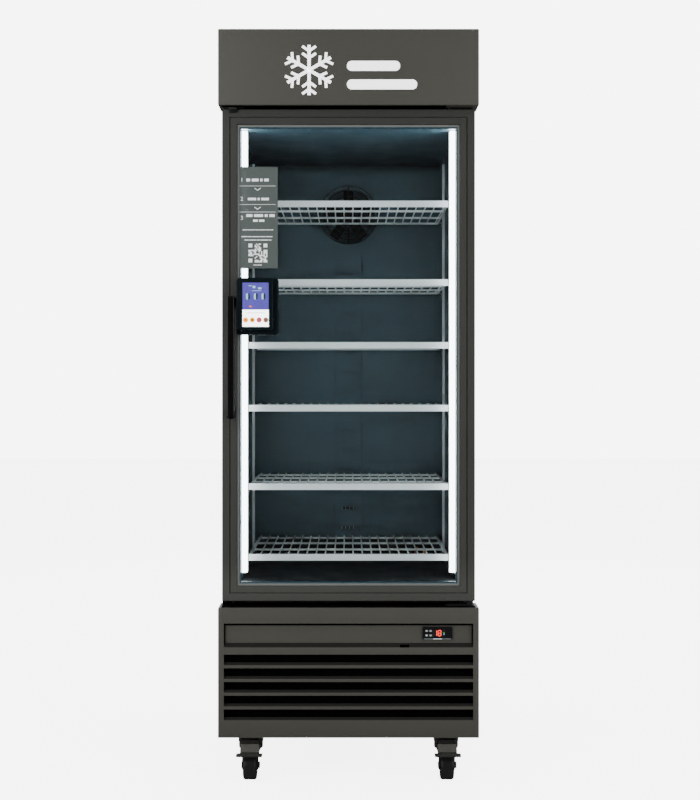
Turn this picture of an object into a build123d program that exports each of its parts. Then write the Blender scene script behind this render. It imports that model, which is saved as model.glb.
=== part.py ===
from build123d import *
import os

# Upright vending fridge: one glass door, a condensing unit in the base, four castors.
# Millimetres, +Z up. The door faces -Y and hinges on the +X side. The origin is on the
# floor, under the middle of the whole.

os.makedirs("parts", exist_ok=True)

# Whole cabinet
overall_height = 1992.0
body_width = 674.0
cap_proud = 8.0              # header and base cover past each side of the body
cap_depth = 82.0             # how far both stand ahead of the insulated body
cabinet_depth = 770.0        # header front to the back of the rear cover
castor_height = 120.0
base_height = 343.5
header_height = 202.0
body_top_drop = 17.0         # body top below the header's top
sheet = 1.0                  # steel sheet
bend_radius = 3.0            # outside radius of a folded corner
front_flange = 28.0          # the side panels' folded edges
rear_flange = 20.0
cap_flange = 33.0            # folded edges that hold the two covers to the body
return_gap = 6.0             # left behind the covers' returns for the hinge brackets
cut_over = 2.0               # how far a cutter runs past the wall it cuts
fit_gap = 0.3                # between pieces that only just clear each other
run_gap = 0.05               # radial clearance of a running fit

# Insulated box
side_wall = 46.0             # outer skin to inner liner
floor_wall = 56.5
back_wall = 60.0
ceiling_wall = 67.0
bay_height = 163.0           # equipment bay, from the inner deck to the body's top
liner = 1.0
frame_lip = 10.0             # depth of the steel frame round the opening
frame_face = 18.0            # width of its upright strips
frame_skirt = 40.0           # how far its lower strip hangs below the box

# Door
door_side_in = 1.0           # door's edge inside the body's side
door_depth = 50.0
door_setback = 20.0          # door front behind the header's front
door_gap_top = 7.0
door_gap_bottom = 14.5
rail_width = 40.0
rail_wall = 2.5
edge_ease = 1.5
groove_in = 20.0             # decorative groove, from the outer edge
groove_width = 3.0
groove_depth = 3.0
lip_depth = 8.0              # frame in front of the glass
glass_bite = 10.0            # frame overlapping the glass unit's edge
glass_edge_gap = 2.0
pane = 4.0
pane_space = 16.0
spacer_width = 16.0
bead_depth = 7.0
gasket_inset = 18.0
gasket_width = 16.0
gasket_squeeze = 3.0         # hollow bulb's wall

# Hinges
hinge_in = 16.0              # pin axis from the door's right edge
pin_radius = 4.0
pin_length = 14.0            # in its bush
collar_radius = 5.25
bush_radius = 10.0
bush_length = 24.0
closer_length = 90.0
bracket_top_thick = 4.0
bracket_left_reach = 58.0    # bracket plate from the pin towards the middle
bracket_right_reach = 14.0
bracket_front_reach = 16.0
bracket_leg = 3.0
bracket_leg_width = 45.0
bracket_leg_height = 24.0

# Lock in the header
lock_from_left = 27.0        # bolt centre from the door's left edge
bolt_width = 16.0
bolt_depth = 7.0
bolt_behind_front = 10.5     # bolt centre behind the door's front
bolt_rest_gap = 1.5          # bolt tip above the door
bolt_tail = 40.0
slot_clearance = 1.0
lock_width = 56.0
lock_depth = 34.0
lock_height = 58.0
lock_wall = 3.0
nose_width = 22.0            # guide that hangs below the header round the bolt
nose_depth = 14.0
nose_gap = 1.5               # above the door
strike_width = 34.0
strike_depth = 16.0
strike_thick = 1.2
strike_front = 2.5           # metal left ahead of the strike plate

# Handle
handle_width = 20.0
handle_proud = 25.0          # ahead of the header's front
handle_thick = 14.0
handle_low_z = 963.0
handle_high_z = 1285.0
handle_from_left = 26.5
handle_post = 28.0
handle_round = 5.0

# Payment terminal on the glass
terminal_width = 110.5
terminal_height = 149.0
terminal_low_z = 1184.0
terminal_back_depth = 26.0
terminal_round = 7.0
tablet_width = 97.0
tablet_height = 137.0
tablet_depth = 17.0
tablet_round = 9.0
screen_width = 69.0
screen_height = 116.0
screen_thick = 1.5
screen_drop = 12.5           # screen top below the tablet's top
screen_from_left = 17.0

# Header and base covers
window_side = 16.0           # from the cover's side to the strip window and the louvres
strip_window_drop = 41.7     # below the base cover's top
strip_window_height = 63.0
strip_low_gap = 10.5
strip_high_gap = 6.6
strip_end_gap = 3.0
strip_setback = 9.0
strip_flange = 20.0
louvre_count = 5
louvre_drop = 19.0           # highest opening below the strip's window
louvre_low = 46.8            # lowest opening above the cover's bottom
louvre_strip = 8.0
louvre_lip = 8.0             # sloped lip behind each strip
notch_from_right = 181.0     # finger notch's centre from the window's right end
notch_width = 25.0
screw_radius = 4.0
screw_head = 2.0
screw_shank_radius = 2.0
screw_in = 15.0              # from the cover's top and bottom ends

# Temperature controller
controller_from_right = 94.0 # controller's centre from the window's right end
controller_width = 79.0
controller_height = 33.0
controller_bezel = 4.0
controller_body_depth = 50.0
controller_body_rim = 3.0    # bezel overlapping the panel round the body
display_width = 34.0
display_height = 17.0
display_thick = 1.5
display_from_left = 43.0
button_width = 7.0
button_height = 5.0
button_proud = 1.0
button_travel = 1.0
button_length = 6.0
button_well = 1.0            # room behind a button at the end of its travel
button_step_x = 10.5
button_step_z = 12.0
button_from_left = 11.0      # first column from the bezel's left edge

# Shelves
shelf_slots = (0, 9, 19, 27, 35, 45)  # each shelf's slot, counted from the lowest
slots_in_height = 57         # shelf slots that fit the interior's height
lowest_shelf = 67.0          # above the interior's floor
shelf_side_gap = 14.0
shelf_setback = 42.0         # shelf front behind the opening
shelf_rear_gap = 12.0        # shelf back ahead of the duct panel
wire_radius = 2.0
bar_radius = 3.0
weld_bite = 1.0
wire_count = 22
wire_in = 6.0                # outer wires from the side bars' axes
wire_drop = 14.0
wire_bend = 5.0
shelf_bar_shares = (0.02, 0.35, 0.68, 0.98)  # crosswise bars, along the shelf's depth
rail_height = 16.0
rail_thick = 1.5
rail_hook = 6.0
pilaster_width = 20.0
pilaster_depth = 6.0
pilaster_wall = 1.5
pilaster_end_gap = 25.0      # from the floor and the ceiling
pilaster_slot_height = 10.0
pilaster_slot_width = 4.0
pilaster_shares = (0.16, 0.86)  # along the shelf's depth
clip_reach = 12.0
clip_width = 16.0
clip_height = 14.0
clip_thick = 2.0

# Lighting
led_width = 16.0
led_depth = 20.0
led_wall = 1.5
led_round = 9.0              # the diffuser's corner towards the goods
led_low_gap = 22.0           # strip ends from floor and ceiling
led_high_gap = 4.0
led_behind_front = 12.0      # strip behind the opening

# Cold air duct, evaporator and its fan
duct_depth = 90.0
duct_side_gap = 1.0
duct_low_gap = 30.0          # return air passes under the panel
duct_high_gap = 30.0
spine_width = 80.0
spine_proud = 8.0
vent_count = 14
vent_width = 46.0
vent_height = 8.0
fan_centre_share = 0.86      # of interior_height
evaporator_fan_radius = 80.0
evaporator_low_gap = 60.0
evaporator_side_gap = 66.0
evaporator_rows = 6
evaporator_depth = 50.0
evaporator_standoff = 8.0    # feet between the coil and the liner's back

# Condensing unit
chassis_plate = 3.0
post_leg = 28.0
post_wall = 2.5
condenser_side_gap = 117.0   # coil's left end from the body's side
condenser_to_compressor = 95.0  # coil's right end from the compressor's axis
condenser_front = 130.0      # coil front behind the cover's front
condenser_depth = 44.0
condenser_rows = 8
condenser_foot = 12.0
tube_radius = 4.75
row_spacing = 30.0
fin_thick = 1.0
fin_spacing = 12.0
end_plate = 2.0
shroud_depth = 22.0
condenser_fan_radius = 90.0
fan_tip_gap = 5.0
fan_hub_radius = 22.0
fan_hub_length = 20.0
fan_blade_count = 5
fan_blade_thick = 2.0
fan_blade_chord = 34.0
fan_blade_pitch = 28.0       # degrees
shaft_radius = 3.0
motor_radius = 34.0
motor_length = 42.0
motor_arm = 10.0
motor_arm_count = 3
compressor_side = 162.0      # compressor's axis from the body's right side
compressor_ahead = 199.5     # and from the body's back
compressor_radius = 78.0
compressor_dome = 26.0       # rounding of the shell's top edge
compressor_height = 176.0
compressor_wall = 3.5
compressor_lift = 18.0
foot_width = 190.0
foot_depth = 120.0
foot_thick = 3.0
foot_stud_radius = 9.0
pan_width = 200.0
pan_depth = 160.0
pan_height = 45.0
pan_wall = 2.0
pan_side = 147.0             # pan's centre from the body's left side
pan_ahead = 139.5            # and from the body's back
hose_radius = 9.0
hose_wall = 2.0
hose_flange = 3.0
hose_dip = 20.0              # hose end below the pan's rim
suction_radius = 5.0
liquid_radius = 3.2
pipe_spacing = 24.0
pipe_behind_coil = 8.0
pipe_rise = 75.0
suction_run = 30.0           # straight run of a pipe ahead of a coil's end
liquid_run = 45.0
discharge_bend = 12.8
liquid_side = 47.0           # the liquid pipe passes right of the compressor
electronics_width = 210.0
electronics_depth = 150.0
electronics_height = 58.0
electronics_wall = 2.0
electronics_x = -110.0

# Back of the machine bay
rear_cover_proud = 8.0
rear_slot_count = 9
rear_slot_spacing = 22.0
rear_slot_height = 7.0
rear_slot_half = 120.0
rear_cover_overlap = 12.0    # over the side panels' rear flanges
inlet_side = 107.0           # inlet's centre from the body's left side
inlet_lift = 60.0
inlet_width = 50.0
inlet_height = 28.0
inlet_body_width = 28.0
inlet_body_height = 20.0
inlet_body_depth = 30.0
inlet_face = 3.0
inlet_pin_width = 4.0
inlet_pin_height = 2.0

# Castors
castor_side = 83.0           # swivel axis from the covers' sides
castor_inset = 66.0          # swivel axis behind the cover's front, and from the back
castor_trail = 26.0
castor_plate_size = 72.0
castor_plate_thick = 3.5
race_radius = 33.0
race_low_radius = 30.0
race_height = 6.5
kingpin_radius = 5.0
kingpin_head = 9.0
kingpin_head_thick = 3.0
fork_cap_radius = 33.5
fork_cap_height = 18.0
fork_cap_round = 7.0
crown_half_width = 22.5
crown_front = 44.0           # ahead of the swivel axis
crown_back = 14.0
crown_over_wheel = 3.0
wheel_radius = 38.0
wheel_width = 36.0
wheel_round = 6.0
wheel_side_gap = 0.8
hub_radius = 13.0
hub_recess = 4.0
fork_leg = 2.5
fork_leg_round = 13.0
fork_leg_reach = 16.0        # half depth of a leg where it meets the crown
axle_radius = 5.0
axle_head = 9.0
axle_head_thick = 2.0
axle_nut_thick = 4.5
pedal_half_width = 34.5
pedal_thick = 4.0
pedal_front = 80.0           # ahead of the swivel axis
pedal_reach = 24.0           # depth of the foot plate
pedal_over_wheel = -3.0      # foot plate's underside from the wheel's top
pedal_arm = 2.5
pedal_pin_y = 20.0           # pivot ahead of the swivel axis
pedal_pin_over_wheel = 6.0
pedal_pin_radius = 3.0
pedal_pin_head = 5.5
pedal_pin_head_thick = 1.5
pedal_web_gap = 3.0          # from the crown's front
pedal_web_high = 26.0        # over the foot plate's underside

# Places that follow from the sizes above
front_y = -(cabinet_depth + handle_proud) / 2 + handle_proud
rear_y = front_y + cabinet_depth
body_front = front_y + cap_depth
body_back = rear_y - rear_cover_proud
body_half = body_width / 2
cap_half = body_half + cap_proud
window_half = cap_half - window_side
base_low = castor_height
base_top = base_low + base_height
header_low = overall_height - header_height
body_top = overall_height - body_top_drop
inner_half = body_half - side_wall
floor_z = base_top + floor_wall
deck_z = body_top - bay_height
ceiling_z = deck_z - ceiling_wall
interior_height = ceiling_z - floor_z
liner_front = body_front + frame_lip
liner_back = body_back - back_wall
duct_y = liner_back - duct_depth
chassis_top = base_low + chassis_plate
door_half = body_half - door_side_in
door_low = base_top + door_gap_bottom
door_high = header_low - door_gap_top
door_y = front_y + door_setback
door_back = door_y + door_depth
glass_y = door_y + lip_depth
glass_back = glass_y + 2 * pane + pane_space
hinge_x = door_half - hinge_in
hinge_y = door_y + door_depth / 2
shelf_front = liner_front + shelf_setback
shelf_back = duct_y - spine_proud - shelf_rear_gap
shelf_depth = shelf_back - shelf_front
shelf_half_width = inner_half - shelf_side_gap
slot_step = interior_height / slots_in_height
shelf_levels = [floor_z + lowest_shelf + slot * slot_step for slot in shelf_slots]
pilaster_ys = [shelf_front + share * shelf_depth for share in pilaster_shares]
fan_z = floor_z + fan_centre_share * interior_height
evaporator_half_width = inner_half - evaporator_side_gap
window_low = base_top - strip_window_drop - strip_window_height
louvre_high = window_low - louvre_drop
louvre_step = (louvre_high - base_low - louvre_low + louvre_strip) / louvre_count
notch_x = window_half - notch_from_right
controller_x = window_half - controller_from_right
castor_x = cap_half - castor_side
wheel_top = 2 * wheel_radius
compressor_x = body_half - compressor_side
compressor_y = body_back - compressor_ahead
condenser_left = -body_half + condenser_side_gap
condenser_right = compressor_x - condenser_to_compressor
condenser_x = (condenser_left + condenser_right) / 2
condenser_half_width = (condenser_right - condenser_left) / 2
pan_x = -body_half + pan_side
pan_y = body_back - pan_ahead
inlet_x = -body_half + inlet_side
pipe_x = compressor_x + compressor_radius / 2
liquid_x = pipe_x + pipe_spacing
liquid_end = body_half - liquid_side
pipe_y = liner_back - pipe_behind_coil - suction_radius
hose_y = pipe_y


def block(x_span, y_span, z_span):
    """Box between two corners, given as a low and a high value on each axis."""
    spans = (x_span, y_span, z_span)
    centre = [(low + high) / 2 for low, high in spans]
    return Pos(*centre) * Box(*[high - low for low, high in spans])


def both(middle, half):
    """Low and high value either side of a middle."""
    return (middle - half, middle + half)


def rod(start, end, radius):
    """Round bar from one point to another."""
    run = Vector(*end) - Vector(*start)
    align = (Align.CENTER, Align.CENTER, Align.MIN)
    return Plane(origin=start, z_dir=run) * Cylinder(radius, run.length, align=align)


def prism(points, plane, length):
    """Straight solid on an outline drawn in a plane."""
    return extrude(plane * make_face(Polyline(*points, close=True)), amount=length)


def both_sides(shape):
    """A solid and its mirror image on the other side of the cabinet."""
    return [shape, mirror(shape, about=Plane.YZ)]


def joined(shapes):
    """One solid out of several that touch or overlap."""
    return shapes[0] if len(shapes) == 1 else shapes[0].fuse(*shapes[1:])


def rounded_block(x_span, y_span, z_span, radius, axis):
    """Box with the four edges along one axis rounded."""
    box = block(x_span, y_span, z_span)
    return fillet(box.edges().filter_by(axis), radius)


def shell(x_span, y_span, z_span, wall):
    """Closed hollow case."""
    inner = [(low + wall, high - wall) for low, high in (x_span, y_span, z_span)]
    return block(x_span, y_span, z_span) - block(*inner)


def side_panels():
    """Left and right outer skins, each folded at the front and the rear edge."""
    outline = [
        (body_half, body_front),
        (body_half, body_back),
        (body_half - rear_flange, body_back),
        (body_half - rear_flange, body_back - sheet),
        (body_half - sheet, body_back - sheet),
        (body_half - sheet, body_front + sheet),
        (body_half - front_flange, body_front + sheet),
        (body_half - front_flange, body_front),
    ]
    return both_sides(prism(outline, Plane.XY.offset(chassis_top), body_top - chassis_top))


def back_panel():
    """Rear skin of the body, above the machine bay."""
    width = both(0, body_half - rear_flange)
    return [block(width, (body_back - sheet, body_back), (base_top, body_top))]


def top_panel():
    """Inner deck over the insulation and the cover over the equipment bay."""
    width = both(0, body_half - sheet)
    depth = (body_front + sheet, body_back - sheet)
    cover = block(width, depth, (body_top - sheet, body_top))
    deck = block(width, depth, (deck_z, deck_z + sheet))
    return [cover, deck]


def hose_hole(radius):
    """Cutter for the drain hose and the two pipes, from the machine bay into the duct."""
    low = base_top - cut_over
    high = floor_z + cut_over
    hose = rod((pan_x, hose_y, low), (pan_x, hose_y, high), hose_radius + radius)
    suction = rod((pipe_x, pipe_y, low), (pipe_x, pipe_y, high), suction_radius + radius)
    liquid = rod((liquid_x, pipe_y, low), (liquid_x, pipe_y, high), liquid_radius + radius)
    return [hose, suction, liquid]


def insulation_foam():
    """Foam between the outer skins and the liner, open at the front."""
    outer = block(
        both(0, body_half - sheet), (liner_front, body_back - sheet), (base_top + sheet, deck_z)
    )
    cavity = block(
        both(0, inner_half + liner),
        (liner_front - cut_over, liner_back + liner),
        (floor_z - liner, ceiling_z + liner),
    )
    return [(outer - cavity).cut(*hose_hole(fit_gap)).solid()]


def inner_liner():
    """Five liner sheets: two sides, back, floor and ceiling."""
    depth = (liner_front, liner_back)
    side = block((inner_half, inner_half + liner), depth, (floor_z, ceiling_z))
    width = both(0, inner_half + liner)
    back = block(width, (liner_back, liner_back + liner), (floor_z - liner, ceiling_z + liner))
    floor = block(width, depth, (floor_z - liner, floor_z)).cut(*hose_hole(fit_gap)).solid()
    ceiling = block(width, depth, (ceiling_z, ceiling_z + liner))
    return both_sides(side) + [back, floor, ceiling]


def front_frame():
    """Steel frame round the opening, which the door seal closes on."""
    face = (body_front, body_front + sheet)
    lip = (body_front + sheet, liner_front)
    outer = inner_half + frame_face
    upright = joined([
        block((inner_half, outer), face, (floor_z, ceiling_z)),
        block((inner_half, inner_half + sheet), lip, (floor_z, ceiling_z)),
    ])
    top = joined([
        block(both(0, outer), face, (ceiling_z, deck_z)),
        block(both(0, outer), lip, (ceiling_z, ceiling_z + sheet)),
    ])
    bottom = joined([
        block(both(0, outer), face, (base_top - frame_skirt, floor_z)),
        block(both(0, outer), lip, (floor_z - sheet, floor_z)),
    ])
    return both_sides(upright) + [top, bottom]


def base_chassis():
    """Bottom plate, four corner posts and the deck that carries the insulated box."""
    plate = block(both(0, body_half), (front_y + sheet, body_back), (base_low, chassis_top))
    deck_depth = (body_front + sheet, body_back - sheet)
    deck = block(both(0, body_half - sheet), deck_depth, (base_top, base_top + sheet))
    deck = deck.cut(*hose_hole(fit_gap)).solid()
    outer_x = body_half - sheet
    posts = []
    for outer_y, way in ((body_front + sheet, 1), (body_back - sheet, -1)):
        across = sorted((outer_y, outer_y + way * post_wall))
        along = sorted((outer_y, outer_y + way * post_leg))
        post = joined([
            block((outer_x - post_leg, outer_x), across, (chassis_top, base_top)),
            block((outer_x - post_wall, outer_x), along, (chassis_top, base_top)),
        ])
        posts += both_sides(post)
    return [plate, deck] + posts


def cover_shell(low_z, high_z, closed_below):
    """Folded cover ahead of the body, open at the back, with flanges on the body."""
    width = both(0, cap_half)
    outer = block(width, (front_y, body_front), (low_z, high_z))
    front_edges = outer.edges().filter_by(Axis.Z).group_by(Axis.Y)[0]
    outer = fillet(front_edges, bend_radius)
    inner_low = low_z + sheet if closed_below else low_z - cut_over
    hollow = block(
        both(0, cap_half - sheet),
        (front_y + sheet, body_front + cut_over),
        (inner_low, high_z - sheet),
    )
    edges = hollow.edges().filter_by(Axis.Z).group_by(Axis.Y)[0]
    hollow = fillet(edges, bend_radius - sheet)
    cover = outer - hollow
    flange_z = (inner_low if closed_below else low_z + chassis_plate, high_z - sheet)
    inner = cap_half - cap_flange
    flange = block((inner, cap_half - sheet), (body_front - sheet, body_front), flange_z)
    cover = cover.fuse(*both_sides(flange))
    return cover.cut(*cover_screw_rods(low_z, high_z, screw_shank_radius + run_gap))


def header_cover():
    """Header ahead of the equipment bay: a slot for the bolt below, a lip at the back."""
    cover = cover_shell(header_low, overall_height, True)
    gap = (body_front - return_gap, body_front + cut_over)
    free_half = cap_half - cap_flange
    cover -= block(both(0, free_half), gap, (header_low - cut_over, header_low + sheet))
    cover -= bolt_cutter(header_low - cut_over, header_low + sheet + cut_over)
    cover += block(
        both(0, cap_half - sheet),
        (body_front - sheet, body_front),
        (body_top, overall_height - sheet),
    )
    return [cover.solid()]


def bolt_cutter(low_z, high_z):
    """Slot that the lock bolt passes with room to spare."""
    bolt_x = -door_half + lock_from_left
    bolt_y = door_y + bolt_behind_front
    return block(
        both(bolt_x, bolt_width / 2 + slot_clearance),
        both(bolt_y, bolt_depth / 2 + slot_clearance),
        (low_z, high_z),
    )


def lip_prism(z, depth, rise):
    """Sloped lip from the front sheet back and up, over the width of an opening."""
    points = [
        (front_y, z),
        (front_y + depth, z + rise),
        (front_y + depth + sheet, z + rise),
        (front_y + sheet, z),
    ]
    return prism(points, Plane.YZ.offset(-window_half), 2 * window_half)


def base_grille():
    """Base cover with the control strip's window, five louvres and a finger notch."""
    cover = cover_shell(base_low, base_top, False)
    free_half = cap_half - cap_flange
    gap = (body_front - return_gap, body_front + cut_over)
    cover -= block(both(0, free_half), gap, (base_top - sheet, base_top + cut_over))
    front = (front_y - cut_over, front_y + sheet + cut_over)
    openings = [(window_low, window_low + strip_window_height)]
    for k in range(louvre_count):
        high = louvre_high - k * louvre_step
        openings.append((high - louvre_step + louvre_strip, high))
    cover = cover.cut(*[block(both(0, window_half), front, z_span) for z_span in openings])
    lips = [lip_prism(low, louvre_lip, louvre_lip - sheet) for low, high in openings]
    notch = block(
        both(notch_x, notch_width / 2),
        (front_y + sheet, front_y + louvre_lip + sheet + cut_over),
        (window_low, window_low + louvre_lip),
    )
    lips[0] = lips[0] - notch
    return [cover.fuse(*lips).solid()]


def strip_span():
    """Height range of the control strip's face."""
    return (window_low + strip_low_gap, window_low + strip_window_height - strip_high_gap)


def control_strip():
    """Set-back strip that holds the controller, folded back at its ends to the cover."""
    face_y = front_y + strip_setback
    half = window_half - strip_end_gap
    wall_half = cap_half - sheet
    face = block(both(0, half), (face_y, face_y + sheet), strip_span())
    end = block((half - sheet, half), (face_y, face_y + strip_flange), strip_span())
    arm_y = (face_y + strip_flange - sheet, face_y + strip_flange)
    arm = block((half - sheet, wall_half), arm_y, strip_span())
    strip = face.fuse(*both_sides(end), *both_sides(arm))
    strip -= block(
        both(controller_x, controller_width / 2 - controller_body_rim),
        (face_y - cut_over, face_y + sheet + cut_over),
        both(sum(strip_span()) / 2 + strip_controller_lift(), body_hole_half()),
    )
    return [strip.solid()]


def strip_controller_lift():
    """Controller's centre above the middle of the strip."""
    low, high = strip_span()
    return (high - low - controller_height) / 2 - controller_body_rim


def body_hole_half():
    """Half height of the controller's body."""
    return controller_height / 2 - controller_body_rim


def controller_z():
    """Height of the controller's centre."""
    return sum(strip_span()) / 2 + strip_controller_lift()


def button_places():
    """Name, x and z of each controller button, two columns of two."""
    left = controller_x - controller_width / 2 + button_from_left
    places = {}
    for name, column, row in (("set", 0, 1), ("up", 1, 1), ("light", 0, 0), ("down", 1, 0)):
        x = left + column * button_step_x
        z = controller_z() + (row - 1 / 2) * button_step_z
        places[name] = (x, z)
    return places


def controller_case():
    """Controller bezel and body, with wells for the buttons and a seat for the display."""
    face_y = front_y + strip_setback
    bezel = rounded_block(
        both(controller_x, controller_width / 2),
        (face_y - controller_bezel, face_y),
        both(controller_z(), controller_height / 2),
        controller_body_rim,
        Axis.Y,
    )
    body = block(
        both(controller_x, controller_width / 2 - controller_body_rim),
        (face_y, face_y + controller_body_depth),
        both(controller_z(), body_hole_half()),
    )
    case = bezel + body
    front = face_y - controller_bezel
    cutters = []
    for x, z in button_places().values():
        well_depth = button_length - button_proud + button_travel + button_well
        cutters.append(block(
            both(x, button_width / 2 + fit_gap),
            (front - cut_over, front + well_depth),
            both(z, button_height / 2 + fit_gap),
        ))
    cutters.append(display_block(front - cut_over))
    return [case.cut(*cutters).solid()]


def display_block(low_y):
    """Display window, from a given front to its seat in the bezel."""
    front = front_y + strip_setback - controller_bezel
    left = controller_x - controller_width / 2 + display_from_left
    return block(
        both(left, display_width / 2),
        (low_y, front + display_thick),
        both(controller_z(), display_height / 2),
    )


def controller_buttons():
    """Four sprung keys, each a rounded cap that stands a little proud."""
    front = front_y + strip_setback - controller_bezel - button_proud
    buttons = {}
    for name, (x, z) in button_places().items():
        key = block(
            both(x, button_width / 2),
            (front, front + button_length),
            both(z, button_height / 2),
        )
        edges = key.faces().sort_by(Axis.Y)[0].edges()
        buttons["button_" + name] = [fillet(edges, button_proud / 2)]
    return buttons


def cover_screw_rods(low_z, high_z, radius):
    """Straight shanks of the screws through both sides of one cover."""
    middle_y = body_front - cap_depth / 2
    rods = []
    for z in (low_z + screw_in, high_z - screw_in):
        inner = (cap_half - 2 * sheet, middle_y, z)
        rods += both_sides(rod(inner, (cap_half, middle_y, z), radius))
    return rods


def cover_screws():
    """Screws through the sides of both covers into the sheets behind them."""
    screws = []
    for low, high in ((base_low, base_top), (header_low, overall_height)):
        middle_y = body_front - cap_depth / 2
        for z in (low + screw_in, high - screw_in):
            head_end = (cap_half + screw_head, middle_y, z)
            head = rod((cap_half, middle_y, z), head_end, screw_radius)
            inner = (cap_half - 2 * sheet, middle_y, z)
            shank = rod(inner, (cap_half, middle_y, z), screw_shank_radius)
            screws += both_sides(joined([head, shank]))
    return screws


def bracket(plate_low, plate_high, leg_low, leg_high, pin_from, pin_to):
    """Hinge bracket: plate over the pin, leg on the body's front, and the riveted pin."""
    plate = block(
        (hinge_x - bracket_left_reach, hinge_x + bracket_right_reach),
        (hinge_y - bracket_front_reach, body_front),
        (plate_low, plate_high),
    )
    corners = plate.edges().filter_by(Axis.Z).group_by(Axis.Y)[0]
    plate = fillet(corners, bracket_front_reach / 2)
    left = hinge_x - bracket_left_reach
    leg = block(
        (left, left + bracket_leg_width),
        (body_front - bracket_leg, body_front),
        (leg_low, leg_high),
    )
    pin = rod((hinge_x, hinge_y, pin_from), (hinge_x, hinge_y, pin_to), pin_radius)
    return joined([plate, leg, pin])


def hinge_brackets():
    """Upper and lower hinge brackets with their pins; the lower one carries the door."""
    plate_low = header_low - bracket_top_thick
    upper = bracket(
        plate_low, header_low, header_low, deck_z, header_low, door_high - pin_length
    )
    plate_high = base_top + bracket_top_thick
    lower = bracket(
        base_top, plate_high, base_top - bracket_leg_height, base_top, base_top,
        door_low + pin_length,
    )
    collar_top = door_low - fit_gap
    collar = rod(
        (hinge_x, hinge_y, plate_high), (hinge_x, hinge_y, collar_top), collar_radius
    )
    return [upper, joined([lower, collar])]


def frame_bars(section, half_width, low_z, high_z, start_y, width, depth):
    """Four mitred bars round a rectangle: bottom, top, left and right.

    The section is a face whose x runs backwards from the front plane and whose y runs
    inwards from the outer edge.
    """
    left_start = (-half_width, start_y, high_z)
    bottom_start = (-half_width, start_y, low_z)
    bottom_plane = Plane(origin=bottom_start, x_dir=(0, 1, 0), z_dir=(1, 0, 0))
    left_plane = Plane(origin=left_start, x_dir=(0, 1, 0), z_dir=(0, 0, -1))
    bottom = extrude(bottom_plane * section, amount=2 * half_width)
    left = extrude(left_plane * section, amount=high_z - low_z)
    inner = half_width - width
    wedge_plane = Plane.XZ.offset(-(start_y + depth))
    bottom_wedge = [
        (-half_width, low_z), (half_width, low_z), (inner, low_z + width),
        (-inner, low_z + width),
    ]
    left_wedge = [
        (-half_width, low_z), (-inner, low_z + width), (-inner, high_z - width),
        (-half_width, high_z),
    ]
    bottom = bottom & prism(bottom_wedge, wedge_plane, depth)
    left = left & prism(left_wedge, wedge_plane, depth)
    middle = Plane.XY.offset((low_z + high_z) / 2)
    return [
        bottom.solid(),
        mirror(bottom, about=middle).solid(),
        left.solid(),
        mirror(left, about=Plane.YZ).solid(),
    ]


def bar_section(width, depth):
    """Plain rectangular section for a mitred frame."""
    corners = [(0, 0), (depth, 0), (depth, width), (0, width)]
    return make_face(Polyline(*corners, close=True))


def door_section():
    """Door extrusion: hollow, grooved at the front, rebated for the glass unit."""
    rebate = rail_width - glass_bite
    outline = [
        (edge_ease, 0),
        (0, edge_ease),
        (0, groove_in),
        (groove_depth, groove_in),
        (groove_depth, groove_in + groove_width),
        (0, groove_in + groove_width),
        (0, rail_width - edge_ease),
        (edge_ease, rail_width),
        (lip_depth, rail_width),
        (lip_depth, rebate),
        (door_depth, rebate),
        (door_depth, 0),
    ]
    cavity = [
        (groove_depth + rail_wall, rail_wall),
        (groove_depth + rail_wall, rebate - rail_wall),
        (door_depth - rail_wall, rebate - rail_wall),
        (door_depth - rail_wall, rail_wall),
    ]
    solid_face = make_face(Polyline(*outline, close=True))
    return solid_face - make_face(Polyline(*cavity, close=True))


def door_frame():
    """Four mitred extrusions, bored for the hinge bushes and slotted for the bolt."""
    bars = frame_bars(
        door_section(), door_half, door_low, door_high, door_y, rail_width, door_depth
    )
    bottom, top, left, right = bars
    hole = bush_radius + run_gap
    bottom -= rod(
        (hinge_x, hinge_y, door_low - cut_over), (hinge_x, hinge_y, door_low + rail_wall + cut_over),
        hole,
    )
    top -= rod(
        (hinge_x, hinge_y, door_high - rail_wall - cut_over), (hinge_x, hinge_y, door_high + cut_over),
        hole,
    )
    top -= bolt_cutter(door_high - rail_wall - cut_over, door_high + cut_over)
    top -= strike_plate_block(door_high + cut_over)
    return [bottom.solid(), top.solid(), left, right]


def strike_plate_block(high_z):
    """Strike plate's outline, let into the door's top edge."""
    bolt_x = -door_half + lock_from_left
    return block(
        both(bolt_x, strike_width / 2),
        (door_y + strike_front, door_y + strike_front + strike_depth),
        (door_high - strike_thick, high_z),
    )


def lock_strike():
    """Strike plate in the door's top edge, with the bolt's slot."""
    plate = strike_plate_block(door_high)
    plate -= bolt_cutter(door_high - strike_thick - cut_over, door_high + cut_over)
    return [plate.solid()]


def hinge_cartridges():
    """Sprung closer in the lower corner and plain bush in the upper corner of the door."""
    bore = pin_radius + run_gap
    bore_depth = pin_length + fit_gap
    closer = rod(
        (hinge_x, hinge_y, door_low), (hinge_x, hinge_y, door_low + closer_length), bush_radius
    )
    closer -= rod(
        (hinge_x, hinge_y, door_low - cut_over), (hinge_x, hinge_y, door_low + bore_depth), bore
    )
    bush = rod(
        (hinge_x, hinge_y, door_high - bush_length), (hinge_x, hinge_y, door_high), bush_radius
    )
    bush -= rod(
        (hinge_x, hinge_y, door_high - bore_depth), (hinge_x, hinge_y, door_high + cut_over), bore
    )
    return [closer.solid(), bush.solid()]


def glass_edges():
    """Half width and height range of the sealed glass unit."""
    inset = rail_width - glass_bite + glass_edge_gap
    return door_half - inset, door_low + inset, door_high - inset


def glass_panes():
    """Outer and inner pane."""
    half, low, high = glass_edges()
    front = block(both(0, half), (glass_y, glass_y + pane), (low, high))
    back = block(both(0, half), (glass_back - pane, glass_back), (low, high))
    return [front, back]


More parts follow.
